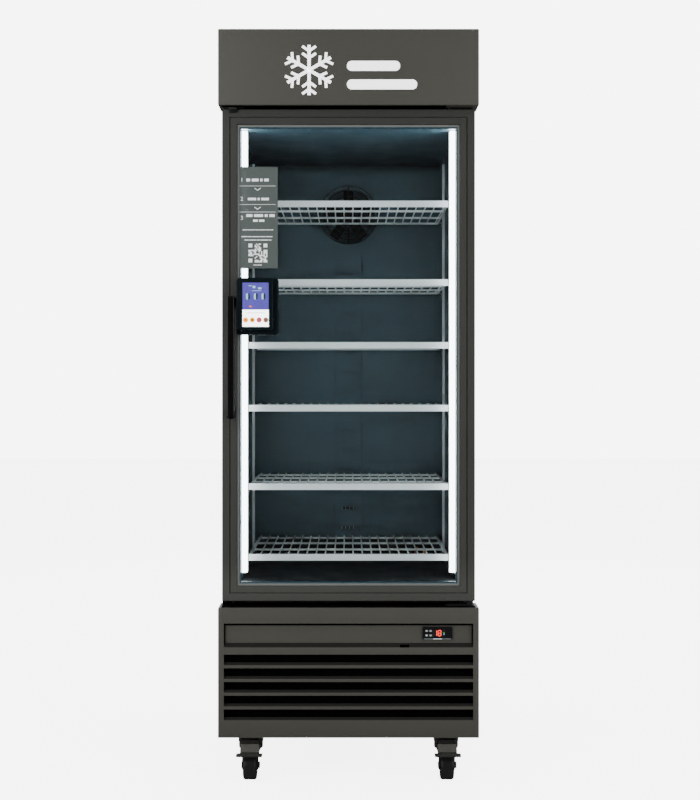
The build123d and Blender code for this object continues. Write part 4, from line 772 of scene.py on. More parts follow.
@dataclass
class Stage:
    """Floor, light and the photograph's camera."""

    floor_size: float = 30.0
    distance: float = 3.5
    height: float = 1.0514
    scale: float = 0.0026386
    frame_height: int = 800
    frame_width: int = 700
    horizon_row: float = 385.0
    centre_column: float = 348.5
    sensor: float = 36.0
    backdrop: float = 7.0
    floor_glow: float = 5.2
    floor_light: float = 0.5
    floor_mirrored: float = 0.10
    floor_tone: float = 0.85
    floor_roughness: float = 0.7
    room_light: float = 0.75
    front_light: float = 0.09
    light_turn: tuple[float, float] = (-0.95, 0.30)
    less_than_a_bounce: float = 0.5
    clip: tuple[float, float] = (0.1, 60.0)
    softboxes: tuple[Softbox, ...] = (
        Softbox("key", (-2.6, -3.2, 2.0), (0.0, 0.0, 1.1), (1.8, 3.4), 158.0),
        Softbox("fill", (2.9, -3.0, 1.8), (0.0, 0.0, 1.0), (1.8, 3.0), 116.0),
        Softbox("rear", (0.5, 3.6, 3.0), (0.0, 0.0, 1.0), (3.0, 2.4), 95.0),
    )

    def build(self) -> None:
        """Set up the stage."""
        self.floor()
        self.world()
        self.lights()
        self.camera()

    def floor(self) -> None:
        """Pale floor under the object."""
        deselect()
        bpy.ops.mesh.primitive_plane_add(size=self.floor_size, location=(0.0, 0.0, 0.0))
        floor = bpy.context.active_object
        floor.name = "floor"
        web = ShaderWeb("pale_floor")
        web.shader.inputs["Base Color"].default_value = (*[self.floor_tone] * 3, 1.0)
        web.shader.inputs["Roughness"].default_value = self.floor_roughness
        web.shader.inputs["Emission Color"].default_value = (1.0, 1.0, 1.0, 1.0)
        links = web.material.node_tree.links
        glow = web.nodes.new("ShaderNodeMapRange")
        glow.inputs["To Min"].default_value = self.floor_light
        glow.inputs["To Max"].default_value = self.floor_glow
        web.link(self.seen(web.nodes, links), glow.inputs["Value"])
        web.link(glow.outputs["Result"], web.shader.inputs["Emission Strength"])
        dim = web.add("ShaderNodeBsdfDiffuse", Color=(*[self.floor_mirrored] * 3, 1.0))
        mix = web.nodes.new("ShaderNodeMixShader")
        path = web.nodes.new("ShaderNodeLightPath")
        web.link(path.outputs["Glossy Depth"], mix.inputs["Fac"])
        web.link(web.shader.outputs["BSDF"], mix.inputs[1])
        web.link(dim.outputs["BSDF"], mix.inputs[2])
        web.link(mix.outputs["Shader"], web.output.inputs["Surface"])
        floor.data.materials.append(web.material)

    def seen(
        self, nodes: bpy.types.Nodes, links: bpy.types.NodeLinks
    ) -> bpy.types.NodeSocket:
        """Socket that is one where the eye sees a surface, also through glass, else zero."""
        path = nodes.new("ShaderNodeLightPath")
        bounces = nodes.new("ShaderNodeMath")
        links.new(path.outputs["Diffuse Depth"], bounces.inputs[0])
        links.new(path.outputs["Glossy Depth"], bounces.inputs[1])
        direct = nodes.new("ShaderNodeMath")
        direct.operation = "LESS_THAN"
        direct.inputs[1].default_value = self.less_than_a_bounce
        links.new(bounces.outputs["Value"], direct.inputs[0])
        return direct.outputs["Value"]

    def world(self) -> None:
        """Pale background that lights the room gently."""
        world = bpy.data.worlds.new("studio")
        bpy.context.scene.world = world
        world.use_nodes = True
        nodes = world.node_tree.nodes
        nodes.clear()
        output = nodes.new("ShaderNodeOutputWorld")
        mix = nodes.new("ShaderNodeMixShader")
        seen = nodes.new("ShaderNodeBackground")
        seen.inputs["Color"].default_value = (1.0, 1.0, 1.0, 1.0)
        seen.inputs["Strength"].default_value = self.backdrop
        light = nodes.new("ShaderNodeBackground")
        light.inputs["Color"].default_value = (1.0, 1.0, 1.0, 1.0)
        direction = nodes.new("ShaderNodeTexCoord")
        parts = nodes.new("ShaderNodeSeparateXYZ")
        span = nodes.new("ShaderNodeMapRange")
        span.inputs["From Min"].default_value, span.inputs["From Max"].default_value = (
            self.light_turn
        )
        span.inputs["To Min"].default_value = self.front_light
        span.inputs["To Max"].default_value = self.room_light
        links = world.node_tree.links
        links.new(direction.outputs["Generated"], parts.inputs["Vector"])
        links.new(parts.outputs["Y"], span.inputs["Value"])
        links.new(span.outputs["Result"], light.inputs["Strength"])
        links.new(self.seen(nodes, links), mix.inputs["Fac"])
        links.new(light.outputs["Background"], mix.inputs[1])
        links.new(seen.outputs["Background"], mix.inputs[2])
        links.new(mix.outputs["Shader"], output.inputs["Surface"])

    def lights(self) -> None:
        """Two tall soft boxes in front and one behind."""
        for softbox in self.softboxes:
            softbox.light()

    def camera(self) -> None:
        """Camera that looks at the front, level, from the photograph's height."""
        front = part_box("header_cover")[0].y
        place = (0.0, front - self.distance, self.height)
        bpy.ops.object.camera_add(location=place, rotation=(math.pi / 2, 0.0, 0.0))
        camera = bpy.context.active_object
        camera.data.sensor_width = self.sensor
        view_height = self.frame_height * self.scale
        camera.data.lens = self.sensor * self.distance / view_height
        long_side = self.frame_height
        camera.data.shift_x = (self.frame_width / 2 - self.centre_column) / long_side
        camera.data.shift_y = (self.horizon_row - self.frame_height / 2) / long_side
        camera.data.clip_start, camera.data.clip_end = self.clip
        bpy.context.scene.camera = camera


@dataclass
class Emblem:
    """Snowflake and two bars, printed on the header."""

    centre: tuple[float, float] = (-0.104, 1.8825)
    arm: float = 0.066
    stroke: float = 0.0085
    twig: float = 0.022
    twig_stroke_share: float = 0.8
    twig_degrees: float = 55.0
    twig_shares: tuple[float, float] = (0.48, 0.76)
    arm_count: int = 6
    thickness: float = 0.0004
    bar_left: float = -0.004
    bar_lengths: tuple[float, float] = (0.140, 0.185)
    bar_levels: tuple[float, float] = (1.8935, 1.8445)
    bar_height: float = 0.026
    bar_round_share: float = 0.48

    def build(self) -> None:
        """Print the header."""
        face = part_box("header_cover")[0].y
        flake = self.snowflake(face)
        flake.dress(GLOWING_WHITE_PRINT).fix("cabinet", "shelf_white")
        rows = zip(self.bar_lengths, self.bar_levels)
        for number, (length, level) in enumerate(rows, start=1):
            centre = (self.bar_left + length / 2, face, level)
            bar = Piece.plate(f"header_bar_{number}", centre, length, self.bar_height)
            radius = self.bar_height * self.bar_round_share
            bar.edit("VERT", lambda vert: True, round_corners(radius, 8))
            bar.thicken(self.thickness)
            bar.dress(GLOWING_WHITE_PRINT).fix("cabinet", "shelf_white")

    def snowflake(self, face: float) -> Piece:
        """Six arms with two pairs of twigs each."""
        x, z = self.centre
        arm = self.stroke_of("snowflake", (x, face, z + self.arm / 2), self.stroke, self.arm)
        twigs = []
        for share in self.twig_shares:
            for side in (-1, 1):
                height = z + self.arm * share
                twig = self.stroke_of(
                    "twig", (x, face, height + self.twig / 2),
                    self.stroke * self.twig_stroke_share, self.twig,
                )
                turn = Matrix.Rotation(side * math.radians(self.twig_degrees), 4, "Y")
                foot = Matrix.Translation((x, face, height))
                twig.shape.data.transform(foot @ turn @ foot.inverted())
                twigs.append(twig)
        arm.unite(twigs)
        hub = Matrix.Translation((x, face, z))
        arms = []
        for number in range(1, self.arm_count):
            turn = Matrix.Rotation(number * 2 * math.pi / self.arm_count, 4, "Y")
            arms.append(arm.copy(f"arm_{number}", hub @ turn @ hub.inverted()))
        return arm.unite(arms)

    def stroke_of(self, name: str, centre: Place, width: float, height: float) -> Piece:
        """One upright stroke of the print, with its thickness."""
        return Piece.plate(name, centre, width, height).thicken(self.thickness)


@dataclass
class Covers:
    """Header and base cover, folded from sheet, with the louvres."""

    sheet: float = 0.0015
    bend: float = 0.003
    window_half: float = 0.329
    window_low: float = 0.3588
    window_height: float = 0.063
    louvre_count: int = 5
    louvre_pitch: float = 0.0362
    louvre_top: float = 0.3398
    louvre_strip: float = 0.008
    lip_depth: float = 0.008
    lip_rise: float = 0.0065
    lip_reach: float = 0.012
    notch_centre: float = 0.148
    notch_half: float = 0.0125
    strip: float = 0.0012
    clearance: float = 0.004
    seal_setback: float = 0.0021
    seat: float = 0.0048
    seat_ahead: float = 0.0006
    seat_gap: float = 0.0002
    corner_depth: float = 0.036
    corner_width: float = 0.024
    corner_height: float = 0.0125

    def build(self) -> None:
        """Make both covers and the strips in the gaps."""
        self.header()
        self.base()
        self.gap_strips()

    def header(self) -> None:
        """Header: a folded box, open at the back."""
        low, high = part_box("header_cover")
        shell = Piece.block("header_shell", low, high)
        shell.edit("FACE", lambda face: face.normal.y > FACING, drop())
        self.fold(shell)
        shell.modify("SOLIDIFY", thickness=self.sheet, offset=-1.0)
        shell.smooth(CREASE)
        shell.dress(BODY_PAINT).fix("cabinet", "body_paint", "header_cover")

    def fold(self, shell: Piece) -> None:
        """Round an open box's bends."""
        shell.edit(
            "EDGE", lambda edge: len(edge.link_faces) == 2, round_off(self.bend, 5)
        )

    def openings(self) -> list[tuple[float, float]]:
        """Low and high edge of the strip's window and of each louvre opening."""
        spans = [(self.window_low, self.window_low + self.window_height)]
        for number in range(self.louvre_count):
            top = self.louvre_top - number * self.louvre_pitch
            spans.append((top - self.louvre_pitch + self.louvre_strip, top))
        return spans

    def base(self) -> None:
        """Base cover: a folded box, pierced and lipped, open at the back and below."""
        low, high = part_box("base_grille")
        shell = Piece.block("base_shell", low, high)
        shell.edit(
            "FACE", lambda face: face.normal.y > FACING or face.normal.z < -FACING, drop()
        )
        self.fold(shell)
        spans = self.openings()
        notch = (self.notch_centre - self.notch_half, self.notch_centre + self.notch_half)
        shell.cut(0, (-self.window_half, self.window_half, *notch))
        shell.cut(2, [level for span in spans for level in span])
        front = low.y
        shell.edit("FACE", lambda face: self.pierced(face, spans, front), drop())
        lows = [span[0] for span in spans]
        shell.edit(
            "EDGE", lambda edge: self.rim(edge, lows, front),
            extrude(0.0, self.lip_depth, self.lip_rise),
        )
        shell.edit("FACE", lambda face: self.notched(face, front, notch), drop())
        shell.modify("SOLIDIFY", thickness=self.sheet, offset=-1.0)
        shell.soften(EASE, 2)
        shell.smooth(CREASE)
        shell.dress(BODY_PAINT, RECESS_SHADE_PAINT)

        def behind(face: bmesh.types.BMFace) -> bool:
            """Whether a face belongs to a lip or to an opening's rim."""
            centre = face.calc_center_median()
            within = abs(centre.x) < self.window_half and centre.z < high.z - self.lip_depth
            return within and front + EASE < centre.y < front + self.lip_reach

        # Lips and rims take the darker paint: painted shade in the openings.
        shell.edit("FACE", behind, paint(1))
        shell.fix("cabinet", "body_paint", "base_grille")

    def gap_strips(self) -> None:
        """Black sheets on the covers' edges above and below the door, over the control strip and
        at the base cover's corner and sides: painted shade where the gaps lie in shadow.
        """
        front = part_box("header_cover")[0].y + self.bend
        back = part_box("door_frame")[1].y
        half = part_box("door_frame")[1].x
        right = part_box("hinge_brackets")[0].x - self.clearance
        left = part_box("lock_housing")[1].x + self.clearance
        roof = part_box("header_cover")[0].z
        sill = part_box("base_grille")[1].z
        self.foam("gap_strip_high", (left, front, roof - self.strip), (right, back, roof))
        self.foam("gap_strip_lock", (-half, front, roof - self.strip),
                  (left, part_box("lock_housing")[0].y - self.sheet, roof))
        self.foam("gap_strip_low", (-half, front, sill), (right, back, sill + self.strip))
        self.foam("gap_strip_hinge", (right, front, sill),
                  (half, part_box("hinge_brackets")[0].y - self.sheet, sill + self.strip))
        low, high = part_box("control_strip")
        top = self.window_low + self.window_height
        wide = self.window_half
        self.foam("gap_strip_controls", (-wide, low.y + self.seal_setback, high.z),
                  (wide, low.y + self.bend * 2, top + self.bend))
        # The seat under the control strip is in the darker paint: a band of painted shade below
        # the strip.
        self.foam("strip_seat", (-wide, low.y - self.seat_ahead, low.z - self.seat),
                  (wide, low.y + self.bend, low.z - self.seat_gap), RECESS_SHADE_PAINT)
        self.foam("gap_corner", (-half, back - self.corner_depth, sill),
                  (self.corner_width - half, back, sill + self.corner_height))
        cover_low, cover_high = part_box("base_grille")
        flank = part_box("side_panels")[1].x
        inner = cover_high.x - self.sheet
        for name, ends in (("left", (-inner, -flank)), ("right", (flank, inner))):
            self.foam(f"gap_strip_{name}", (ends[0], cover_high.y - self.bend * 2, cover_low.z),
                      (ends[1], cover_high.y - self.sheet, sill - self.bend))

    def foam(self, name: str, low: Place, high: Place, finish: Finish = GAP_SHADE_SHEET) -> None:
        """One strip between two corners: a black sheet of painted shade if nothing else is said.
        """
        strip = Piece.block(name, low, high)
        strip.soften(EASE, 2)
        strip.dress(finish).fix("cabinet", "black_plastic")

    def pierced(
        self, face: bmesh.types.BMFace, spans: list[tuple[float, float]], front: float
    ) -> bool:
        """Whether a face of the front lies in an opening."""
        centre = face.calc_center_median()
        if not near(centre.y, front) or abs(centre.x) > self.window_half:
            return False
        return any(low < centre.z < high for low, high in spans)

    def rim(self, edge: bmesh.types.BMEdge, levels: list[float], front: float) -> bool:
        """Whether an edge is a level rim of an opening."""
        first, second = edge.verts
        level = near(first.co.z, second.co.z) and near(first.co.y, front)
        open_edge = len(edge.link_faces) == 1
        return open_edge and level and any(near(first.co.z, place) for place in levels)

    def notched(
        self, face: bmesh.types.BMFace, front: float, notch: tuple[float, float]
    ) -> bool:
        """Whether a face of the window's sloped lip lies in the finger notch."""
        centre = face.calc_center_median()
        on_lip = centre.y > front + self.sheet and self.window_low < centre.z
        inside = notch[0] < centre.x < notch[1]
        return on_lip and inside and centre.z < self.window_low + self.lip_rise


@dataclass
class Controller:
    """What shows on the temperature controller."""

    digit_height: float = 0.0145
    digit_width: float = 0.0078
    stroke: float = 0.0015
    digit_gap: float = 0.0036
    segment_share: float = 0.86
    segment_point_share: float = 0.45
    # Height of the painted highlight along the case's foot, and its rise above the foot.
    lip: float = 0.0013
    lip_half: float = 0.036
    lip_share: float = 0.8
    glint_share: float = 0.3
    lamp_radius: float = 0.0011
    lamp_inset: float = 0.003
    lamp_step: float = 0.0035
    mark_radius: float = 0.0015
    reading: str = "18"
    thickness: float = 0.0002
    lit: dict[str, str] = field(default_factory=lambda: {
        "0": "abcdef", "1": "bc", "2": "abged", "3": "abgcd", "4": "fgbc",
        "5": "afgcd", "6": "afgcde", "7": "abc", "8": "abcdefg", "9": "abcfgd",
    })

    def build(self) -> None:
        """Light the display and mark the keys."""
        low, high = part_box("controller_display")
        face = low.y
        width = len(self.reading) * (self.digit_width + self.digit_gap)
        left = (low.x + high.x - width) / 2 - self.digit_gap
        middle = (low.z + high.z) / 2
        segments = []
        for number, digit in enumerate(self.reading):
            centre = left + (number + 0.5) * (self.digit_width + self.digit_gap)
            segments += self.digit(digit, centre, face, middle)
        display = segments[0].join(segments[1:])
        display.shape.name = "display_digits"
        display.thicken(self.thickness)
        display.dress(RED_DIGIT).fix("cabinet", "display_red")
        self.lamps(face, high.x, middle)
        self.key_marks()
        self.bright_lip()

    def digit(self, digit: str, x: float, face: float, z: float) -> list[Piece]:
        """The lit segments of one digit."""
        half = self.digit_height / 2
        side = self.digit_width / 2
        places = {
            "a": (0.0, half, True), "g": (0.0, 0.0, True), "d": (0.0, -half, True),
            "f": (-side, half / 2, False), "b": (side, half / 2, False),
            "e": (-side, -half / 2, False), "c": (side, -half / 2, False),
        }
        made = []
        for letter in self.lit[digit]:
            across, up, level = places[letter]
            length = self.digit_width if level else half
            length *= self.segment_share
            segment = Piece.plate("segment", (0.0, 0.0, 0.0), length, self.stroke)
            point = self.stroke * self.segment_point_share
            segment.edit("VERT", lambda vert: True, round_corners(point, 1))
            turn = Matrix.Identity(4) if level else Matrix.Rotation(math.pi / 2, 4, "Y")
            place = Matrix.Translation((x + across, face, z + up))
            segment.shape.data.transform(place @ turn)
            made.append(segment)
        return made

    def bright_lip(self) -> None:
        """Painted highlight along the lower edge of the case: a grey line, with a brighter
        glowing glint in its middle.
        """
        low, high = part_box("controller_case")
        middle = (low.x + high.x) / 2
        level = low.z + self.lip
        for name, half, tall, finish in (
            ("controller_lip", self.lip_half, self.lip * self.lip_share, CASE_GLINT),
            ("controller_glint", self.lip_half * self.glint_share, self.lip, GLOWING_PALE_MARK),
        ):
            lip = Piece.plate(name, (middle, low.y, level), half * 2, tall)
            lip.thicken(self.thickness * (2.0 if finish is GLOWING_PALE_MARK else 1.0))
            lip.dress(finish).fix("cabinet", "grey_plastic")

    def lamps(self, face: float, right: float, middle: float) -> None:
        """Two small state lamps at the display's right end."""
        for name, finish, level in (
            ("lamp_cooling", BLUE_LAMP, middle - self.lamp_step),
            ("lamp_defrost", GREEN_LAMP, middle),
        ):
            centre = (right - self.lamp_inset, face, level)
            lamp = Piece.disc(name, centre, self.lamp_radius, 16)
            lamp.thicken(self.thickness)
            lamp.dress(finish).fix("cabinet", "display_red")

    def key_marks(self) -> None:
        """A pale sign on each key: set, up, down and light."""
        sides = {"button_up": 3, "button_down": 3, "button_light": 24, "button_set": 4}
        for node, count in sides.items():
            low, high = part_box(node)
            centre = ((low.x + high.x) / 2, low.y, (low.z + high.z) / 2)
            mark = Piece.disc(f"{node}_mark", centre, self.mark_radius, count)
            if node == "button_down":
                place = Matrix.Translation(centre)
                turn = Matrix.Rotation(math.pi, 4, "Y")
                mark.shape.data.transform(place @ turn @ place.inverted())
            mark.thicken(self.thickness)
            mark.dress(GLOWING_PALE_MARK).fix(node, "grey_plastic")


@dataclass
class Handle:
    """Moulded pull handle with rounded ends."""

    grip: float = 0.014
    post: float = 0.028
    end_round: float = 0.0065
    rounding: float = 0.0035
    sharp: float = 0.5

    def build(self) -> None:
        """Make the handle from one bar with two feet."""
        low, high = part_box("door_handle")
        grip = Piece.block("pull_handle", low, (high.x, low.y + self.grip, high.z))
        ends = (low.z + self.post, high.z - self.post)
        grip.cut(2, ends)
        back = low.y + self.grip
        grip.edit(
            "FACE",
            lambda face: face.normal.y > FACING
            and not ends[0] < face.calc_center_median().z < ends[1],
            extrude(0.0, high.y - back, 0.0),
        )
        grip.edit(
            "EDGE",
            lambda edge: near(edge.verts[0].co.x, edge.verts[1].co.x)
            and (edge_at(2, low.z)(edge) or edge_at(2, high.z)(edge)),
            round_off(self.end_round, 6),
        )
        grip.edit(
            "EDGE",
            lambda edge: len(edge.link_faces) == 2
            and edge.calc_face_angle() > self.sharp
            and not edge_at(1, high.y)(edge),
            round_off(self.rounding, 5),
        )
        grip.smooth(FULL_ROUND_CREASE)
        grip.dress(HANDLE_PLASTIC).fix("door", "black_plastic", "door_handle")


@dataclass
class Terminal:
    """Payment terminal: a box on the glass, a tablet in front of it and its picture."""

    back_depth: float = 0.026
    tablet_width: float = 0.097
    tablet_height: float = 0.137
    box_round: float = 0.007
    tablet_round: float = 0.009
    front_round: float = 0.0022
    picture_lift: float = 0.00015
    split_share: float = 0.385
    card_shares: tuple[float, ...] = (0.21, 0.51, 0.80)
    card_level_share: float = 0.49
    card_size: tuple[float, float] = (0.0100, 0.0165)
    card_round: float = 0.0042
    title: tuple[tuple[str, float, float, float, float], ...] = (
        ("a", 0.44, 0.84, 0.10, 0.0060), ("b", 0.66, 0.79, 0.13, 0.0046),
        ("c", 0.30, 0.88, 0.12, 0.0018), ("d", 0.54, 0.70, 0.34, 0.0012),
    )
    mark_shares: tuple[float, float] = (0.31, 0.12)
    mark_size: tuple[float, float] = (0.0065, 0.0034)
    fruit_radius: float = 0.0070
    fruit_rind: float = 0.0032
    fruit_shares: tuple[float, float] = (0.12, 0.258)
    fruit_level_share: float = 0.40
    line_shares: tuple[float, float] = (0.7, 0.82)
    line_height: float = 0.0012

    def build(self) -> None:
        """Make the case and light the screen."""
        low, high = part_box("terminal_housing")
        split = high.y - self.back_depth
        box = Piece.block("terminal_box", (low.x, split, low.z), high)
        self.round_case(box, self.box_round, split)
        tablet = Piece.block(
            "terminal_tablet",
            (low.x, low.y, high.z - self.tablet_height),
            (low.x + self.tablet_width, split, high.z),
        )
        self.round_case(tablet, self.tablet_round, low.y)
        box.dress(CASE_PLASTIC).fix("door", "black_plastic", "terminal_housing")
        tablet.dress(CASE_PLASTIC).fix("door", "black_plastic", "terminal_housing")
        dress_node("terminal_screen", SCREEN_GLASS)
        self.picture()

    def round_case(self, case: Piece, radius: float, front: float) -> None:
        """Round a case's corners and then its front edge."""
        case.edit("EDGE", edge_along_depth, round_off(radius, 8))
        case.edit("EDGE", edge_at(1, front), round_off(self.front_round, 4))
        case.smooth(CREASE)

    def picture(self) -> None:
        """Blue upper part with three cards, white lower part with four fruit."""
        low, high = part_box("terminal_screen")
        split = low.z + (high.z - low.z) * self.split_share
        face = low.y
        middle = (low.x + high.x) / 2
        width = high.x - low.x
        self.pane("screen_upper", (middle, face, (split + high.z) / 2),
                  width, high.z - split, SCREEN_BLUE)
        self.pane("screen_lower", (middle, face, (split + low.z) / 2),
                  width, split - low.z, SCREEN_WHITE)
        raised = face - self.picture_lift
        upper = high.z - split
        lower = split - low.z
        for number, share in enumerate(self.card_shares, start=1):
            centre = (low.x + width * share, raised, split + upper * self.card_level_share)
            self.card(f"screen_card_{number}", centre)
        for letter, across, up, length, height in self.title:
            centre = (low.x + width * across, raised, split + upper * up)
            self.pane(f"screen_title_{letter}", centre, width * length, height, SCREEN_PALE)
        across, up = self.mark_shares
        mark = (low.x + width * across, raised, split + upper * up)
        self.pane("screen_mark", mark, *self.mark_size, SCREEN_ORANGE)
        fruit = (
            ("screen_fruit_1", SCREEN_YELLOW, SCREEN_ORANGE),
            ("screen_fruit_2", SCREEN_YELLOW, SCREEN_BROWN),
            ("screen_fruit_3", SCREEN_RED, SCREEN_MAUVE),
            ("screen_fruit_4", SCREEN_MAUVE, SCREEN_BROWN),
        )
        for number, (name, outer, inner) in enumerate(fruit):
            x = low.x + width * (self.fruit_shares[0] + number * self.fruit_shares[1])
            centre = (x, raised, low.z + lower * self.fruit_level_share)
            self.fruit(name, centre, outer, inner)
        length, up = self.line_shares
        line = (middle, raised, low.z + lower * up)
        self.pane("screen_line", line, width * length, self.line_height, SCREEN_MAUVE)

    def pane(
        self, name: str, centre: Place, width: float, height: float, finish: Finish
    ) -> Piece:
        """A lit rectangle on the screen."""
        pane = Piece.plate(name, centre, width, height).thicken(self.picture_lift)
        return pane.dress(finish).fix("door", "screen_glass")

    def card(self, name: str, centre: Place) -> Piece:
        """A pale bottle with a dark side."""
        card = Piece.plate(name, centre, *self.card_size)
        card.cut(0, (centre[0],))
        card.edit(
            "VERT", lambda vert: not near(vert.co.x, centre[0]),
            round_corners(self.card_round, 5),
        )
        card.dress(SCREEN_PALE, SCREEN_NIGHT)
        for polygon in card.shape.data.polygons:
            polygon.material_index = int(polygon.center.x > centre[0])
        return card.thicken(self.picture_lift).fix("door", "screen_glass")

    def fruit(self, name: str, centre: Place, outer: Finish, inner: Finish) -> Piece:
        """A round fruit with a patch of another colour."""
        fruit = Piece.disc(name, centre, self.fruit_radius, 24)
        fruit.edit("FACE", lambda face: True, inset(self.fruit_rind))
        fruit.dress(outer, inner)
        for polygon in fruit.shape.data.polygons:
            polygon.material_index = int(len(polygon.vertices) > 4)
        return fruit.thicken(self.picture_lift).fix("door", "screen_glass")


@dataclass
class GuideSheet:
    """Printed sheet stuck on the glass: numbered steps and a block of dots."""

    left: float = -0.2957
    right: float = -0.1880
    low: float = 1.3615
    high: float = 1.6315
    film: float = 0.0003
    print_lift: float = 0.0001
    corner: float = 0.002
    rule_size: tuple[float, float] = (0.096, 0.0008)
    rule_levels: tuple[float, ...] = (1.5807, 1.5315, 1.5115)
    word_gap_share: float = 0.62
    chevron_levels: tuple[float, ...] = (1.5720, 1.5215)
    chevron_stroke: tuple[float, float] = (0.0105, 0.0019)
    chevron_half: float = 0.0038
    chevron_degrees: float = 36.0
    numeral_levels: tuple[float, ...] = (1.5966, 1.5460, 1.4955)
    numeral_in: float = 0.012
    numeral_size: float = 0.015
    cells: int = 15
    code_seed: int = 7
    code_share: float = 0.55
    code_corner: int = 4
    code_left: float = -0.2660
    code_low: float = 1.3775
    code_size: float = 0.0500
    lines: tuple[tuple[float, float, float, tuple[float, ...]], ...] = (
        (0.0240, 1.5966, 0.0072, (0.010, 0.018, 0.006, 0.012)),
        (0.0280, 1.5460, 0.0064, (0.022, 0.006, 0.020)),
        (0.0240, 1.5020, 0.0072, (0.016, 0.024, 0.008, 0.014)),
        (0.0420, 1.4885, 0.0060, (0.012, 0.014)),
        (0.0140, 1.4640, 0.0018, (0.012, 0.020, 0.009, 0.016, 0.011, 0.008)),
        (0.0110, 1.4460, 0.0022, (0.016, 0.009, 0.021, 0.013, 0.018)),
        (0.0190, 1.4370, 0.0022, (0.011, 0.019, 0.008, 0.022, 0.006)),
        (0.0430, 1.3705, 0.0018, (0.009, 0.012)),
    )

    def build(self) -> None:
        """Stick the sheet on and print it."""
        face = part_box("glass_panes")[0].y
        centre = ((self.left + self.right) / 2, face, (self.low + self.high) / 2)
        sheet = Piece.plate("guide_sheet", centre, self.right - self.left, self.high - self.low)
        sheet.edit("VERT", lambda vert: True, round_corners(self.corner))
        sheet.thicken(self.film)
        sheet.dress(GUIDE_FILM).fix("door", "black_plastic")
        surface = face - self.film
        middle = centre[0]
        strips = [
            Piece.plate("print", (middle, surface, level), *self.rule_size)
            for level in self.rule_levels
        ]
        for start, level, height, words in self.lines:
            x = self.left + start
            for word in words:
                strips.append(
                    Piece.plate("print", (x + word / 2, surface, level), word, height)
                )
                x += word + height * self.word_gap_share
        for level in self.chevron_levels:
            strips += self.chevron(middle, surface, level)
        for number, level in enumerate(self.numeral_levels, start=1):
            centre = (self.left + self.numeral_in, surface, level)
            strips.append(self.numeral(str(number), centre))
        strips.append(self.dots(surface))
        text = strips[0].join(strips[1:])
        text.shape.name = "guide_print"
        text.thicken(self.print_lift)
        text.dress(PALE_PRINT).fix("door", "shelf_white")

    def chevron(self, x: float, surface: float, z: float) -> list[Piece]:
        """Two short strokes that point down."""
        strokes = []
        for side in (-1, 1):
            stroke = Piece.plate("print", (0.0, 0.0, 0.0), *self.chevron_stroke)
            turn = Matrix.Rotation(-side * math.radians(self.chevron_degrees), 4, "Y")
            place = Matrix.Translation((x + side * self.chevron_half, surface, z))
            stroke.shape.data.transform(place @ turn)
            strokes.append(stroke)
        return strokes

    def numeral(self, text: str, centre: Place) -> Piece:
        """A plain numeral, made a flat mesh."""
        deselect()
        bpy.ops.object.text_add()
        letter = bpy.context.active_object
        letter.data.body = text
        letter.data.align_x = "CENTER"
        letter.data.align_y = "CENTER"
        letter.data.size = self.numeral_size
        bpy.ops.object.convert(target="MESH")
        letter = bpy.context.active_object
        letter.rotation_euler = (math.pi / 2, 0.0, 0.0)
        letter.location = centre
        return Piece(letter, "print")

    def dots(self, surface: float) -> Piece:
        """A square block of random cells with a frame in three corners."""
        deselect()
        half = self.code_size / 2
        centre = (self.code_left + half, surface, self.code_low + half)
        bpy.ops.mesh.primitive_grid_add(
            x_subdivisions=self.cells, y_subdivisions=self.cells, size=self.code_size,
            location=centre, rotation=(math.pi / 2, 0.0, 0.0),
        )
        grid = Piece(bpy.context.active_object, "print")
        chance = random.Random(self.code_seed)
        cell = self.code_size / self.cells
        keep = {
            (column, row): self.kept(column, row, chance)
            for column in range(self.cells) for row in range(self.cells)
        }

        def blank(face: bmesh.types.BMFace) -> bool:
            """Whether a face of the grid is left unprinted."""
            spot = face.calc_center_median()
            column = int((spot.x - self.code_left) / cell)
            row = int((spot.z - self.code_low) / cell)
            return not keep[(column, row)]

        return grid.edit("FACE", blank, drop())

    def kept(self, column: int, row: int, chance: random.Random) -> bool:
        """Whether a cell is printed.

        Args:
            column: The cell's place from the left.
            row: Its place from below.
            chance: Source of the random cells.

        Returns:
            True if the cell is white.
        """
        last = self.cells - 1
        for corner_column, corner_row in ((0, 0), (0, last), (last, last)):
            across = abs(column - corner_column)
            up = abs(row - corner_row)
            if max(across, up) <= self.code_corner:
                return max(across, up) < self.code_corner - 1
        return chance.random() < self.code_share


@dataclass
class GlassEdge:
    """Pale rubber lip at the outer pane's edge, and the printed border inside it."""

    rail: float = 0.040
    seal_width: float = 0.0060
    seal_proud: float = 0.0022
    border_width: float = 0.0040
    border_film: float = 0.0002
    seal_ease: float = 0.0007
    slack: float = 1e-4

    def build(self) -> None:
        """Make the lip and the border."""
        seal = self.ring("glazing_seal", self.rail, self.seal_width, self.seal_proud)
        seal.soften(self.seal_ease, 2)
        seal.smooth(CREASE)
        seal.dress(GLAZING_SEAL).fix("door", "seal_rubber")
        border = self.ring(
            "glass_border", self.rail + self.seal_width, self.border_width, self.border_film
        )
        border.dress(GLASS_BORDER).fix("door", "black_plastic")

    def ring(self, name: str, reach: float, width: float, proud: float) -> Piece:
        """A ring on the outer pane's front.

        Args:
            name: The piece's name.
            reach: How far inside the door's edge it starts.
            width: How wide it is.
            proud: How far it stands ahead of the pane.

        Returns:
            The ring.
        """
        low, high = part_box("door_frame")
        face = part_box("glass_panes")[0].y
        centre = ((low.x + high.x) / 2, face, (low.z + high.z) / 2)
        ring = Piece.plate(
            name, centre, high.x - low.x - 2 * reach, high.z - low.z - 2 * reach
        )
        ring.edit("FACE", lambda part: True, inset(width))

        def middle(part: bmesh.types.BMFace) -> bool:
            """Whether a face is the one inside the ring."""
            spot = part.calc_center_median()
            return near(spot.x, centre[0], self.slack) and near(spot.z, centre[2], self.slack)

        ring.edit("FACE", middle, drop())
        return ring.thicken(proud)


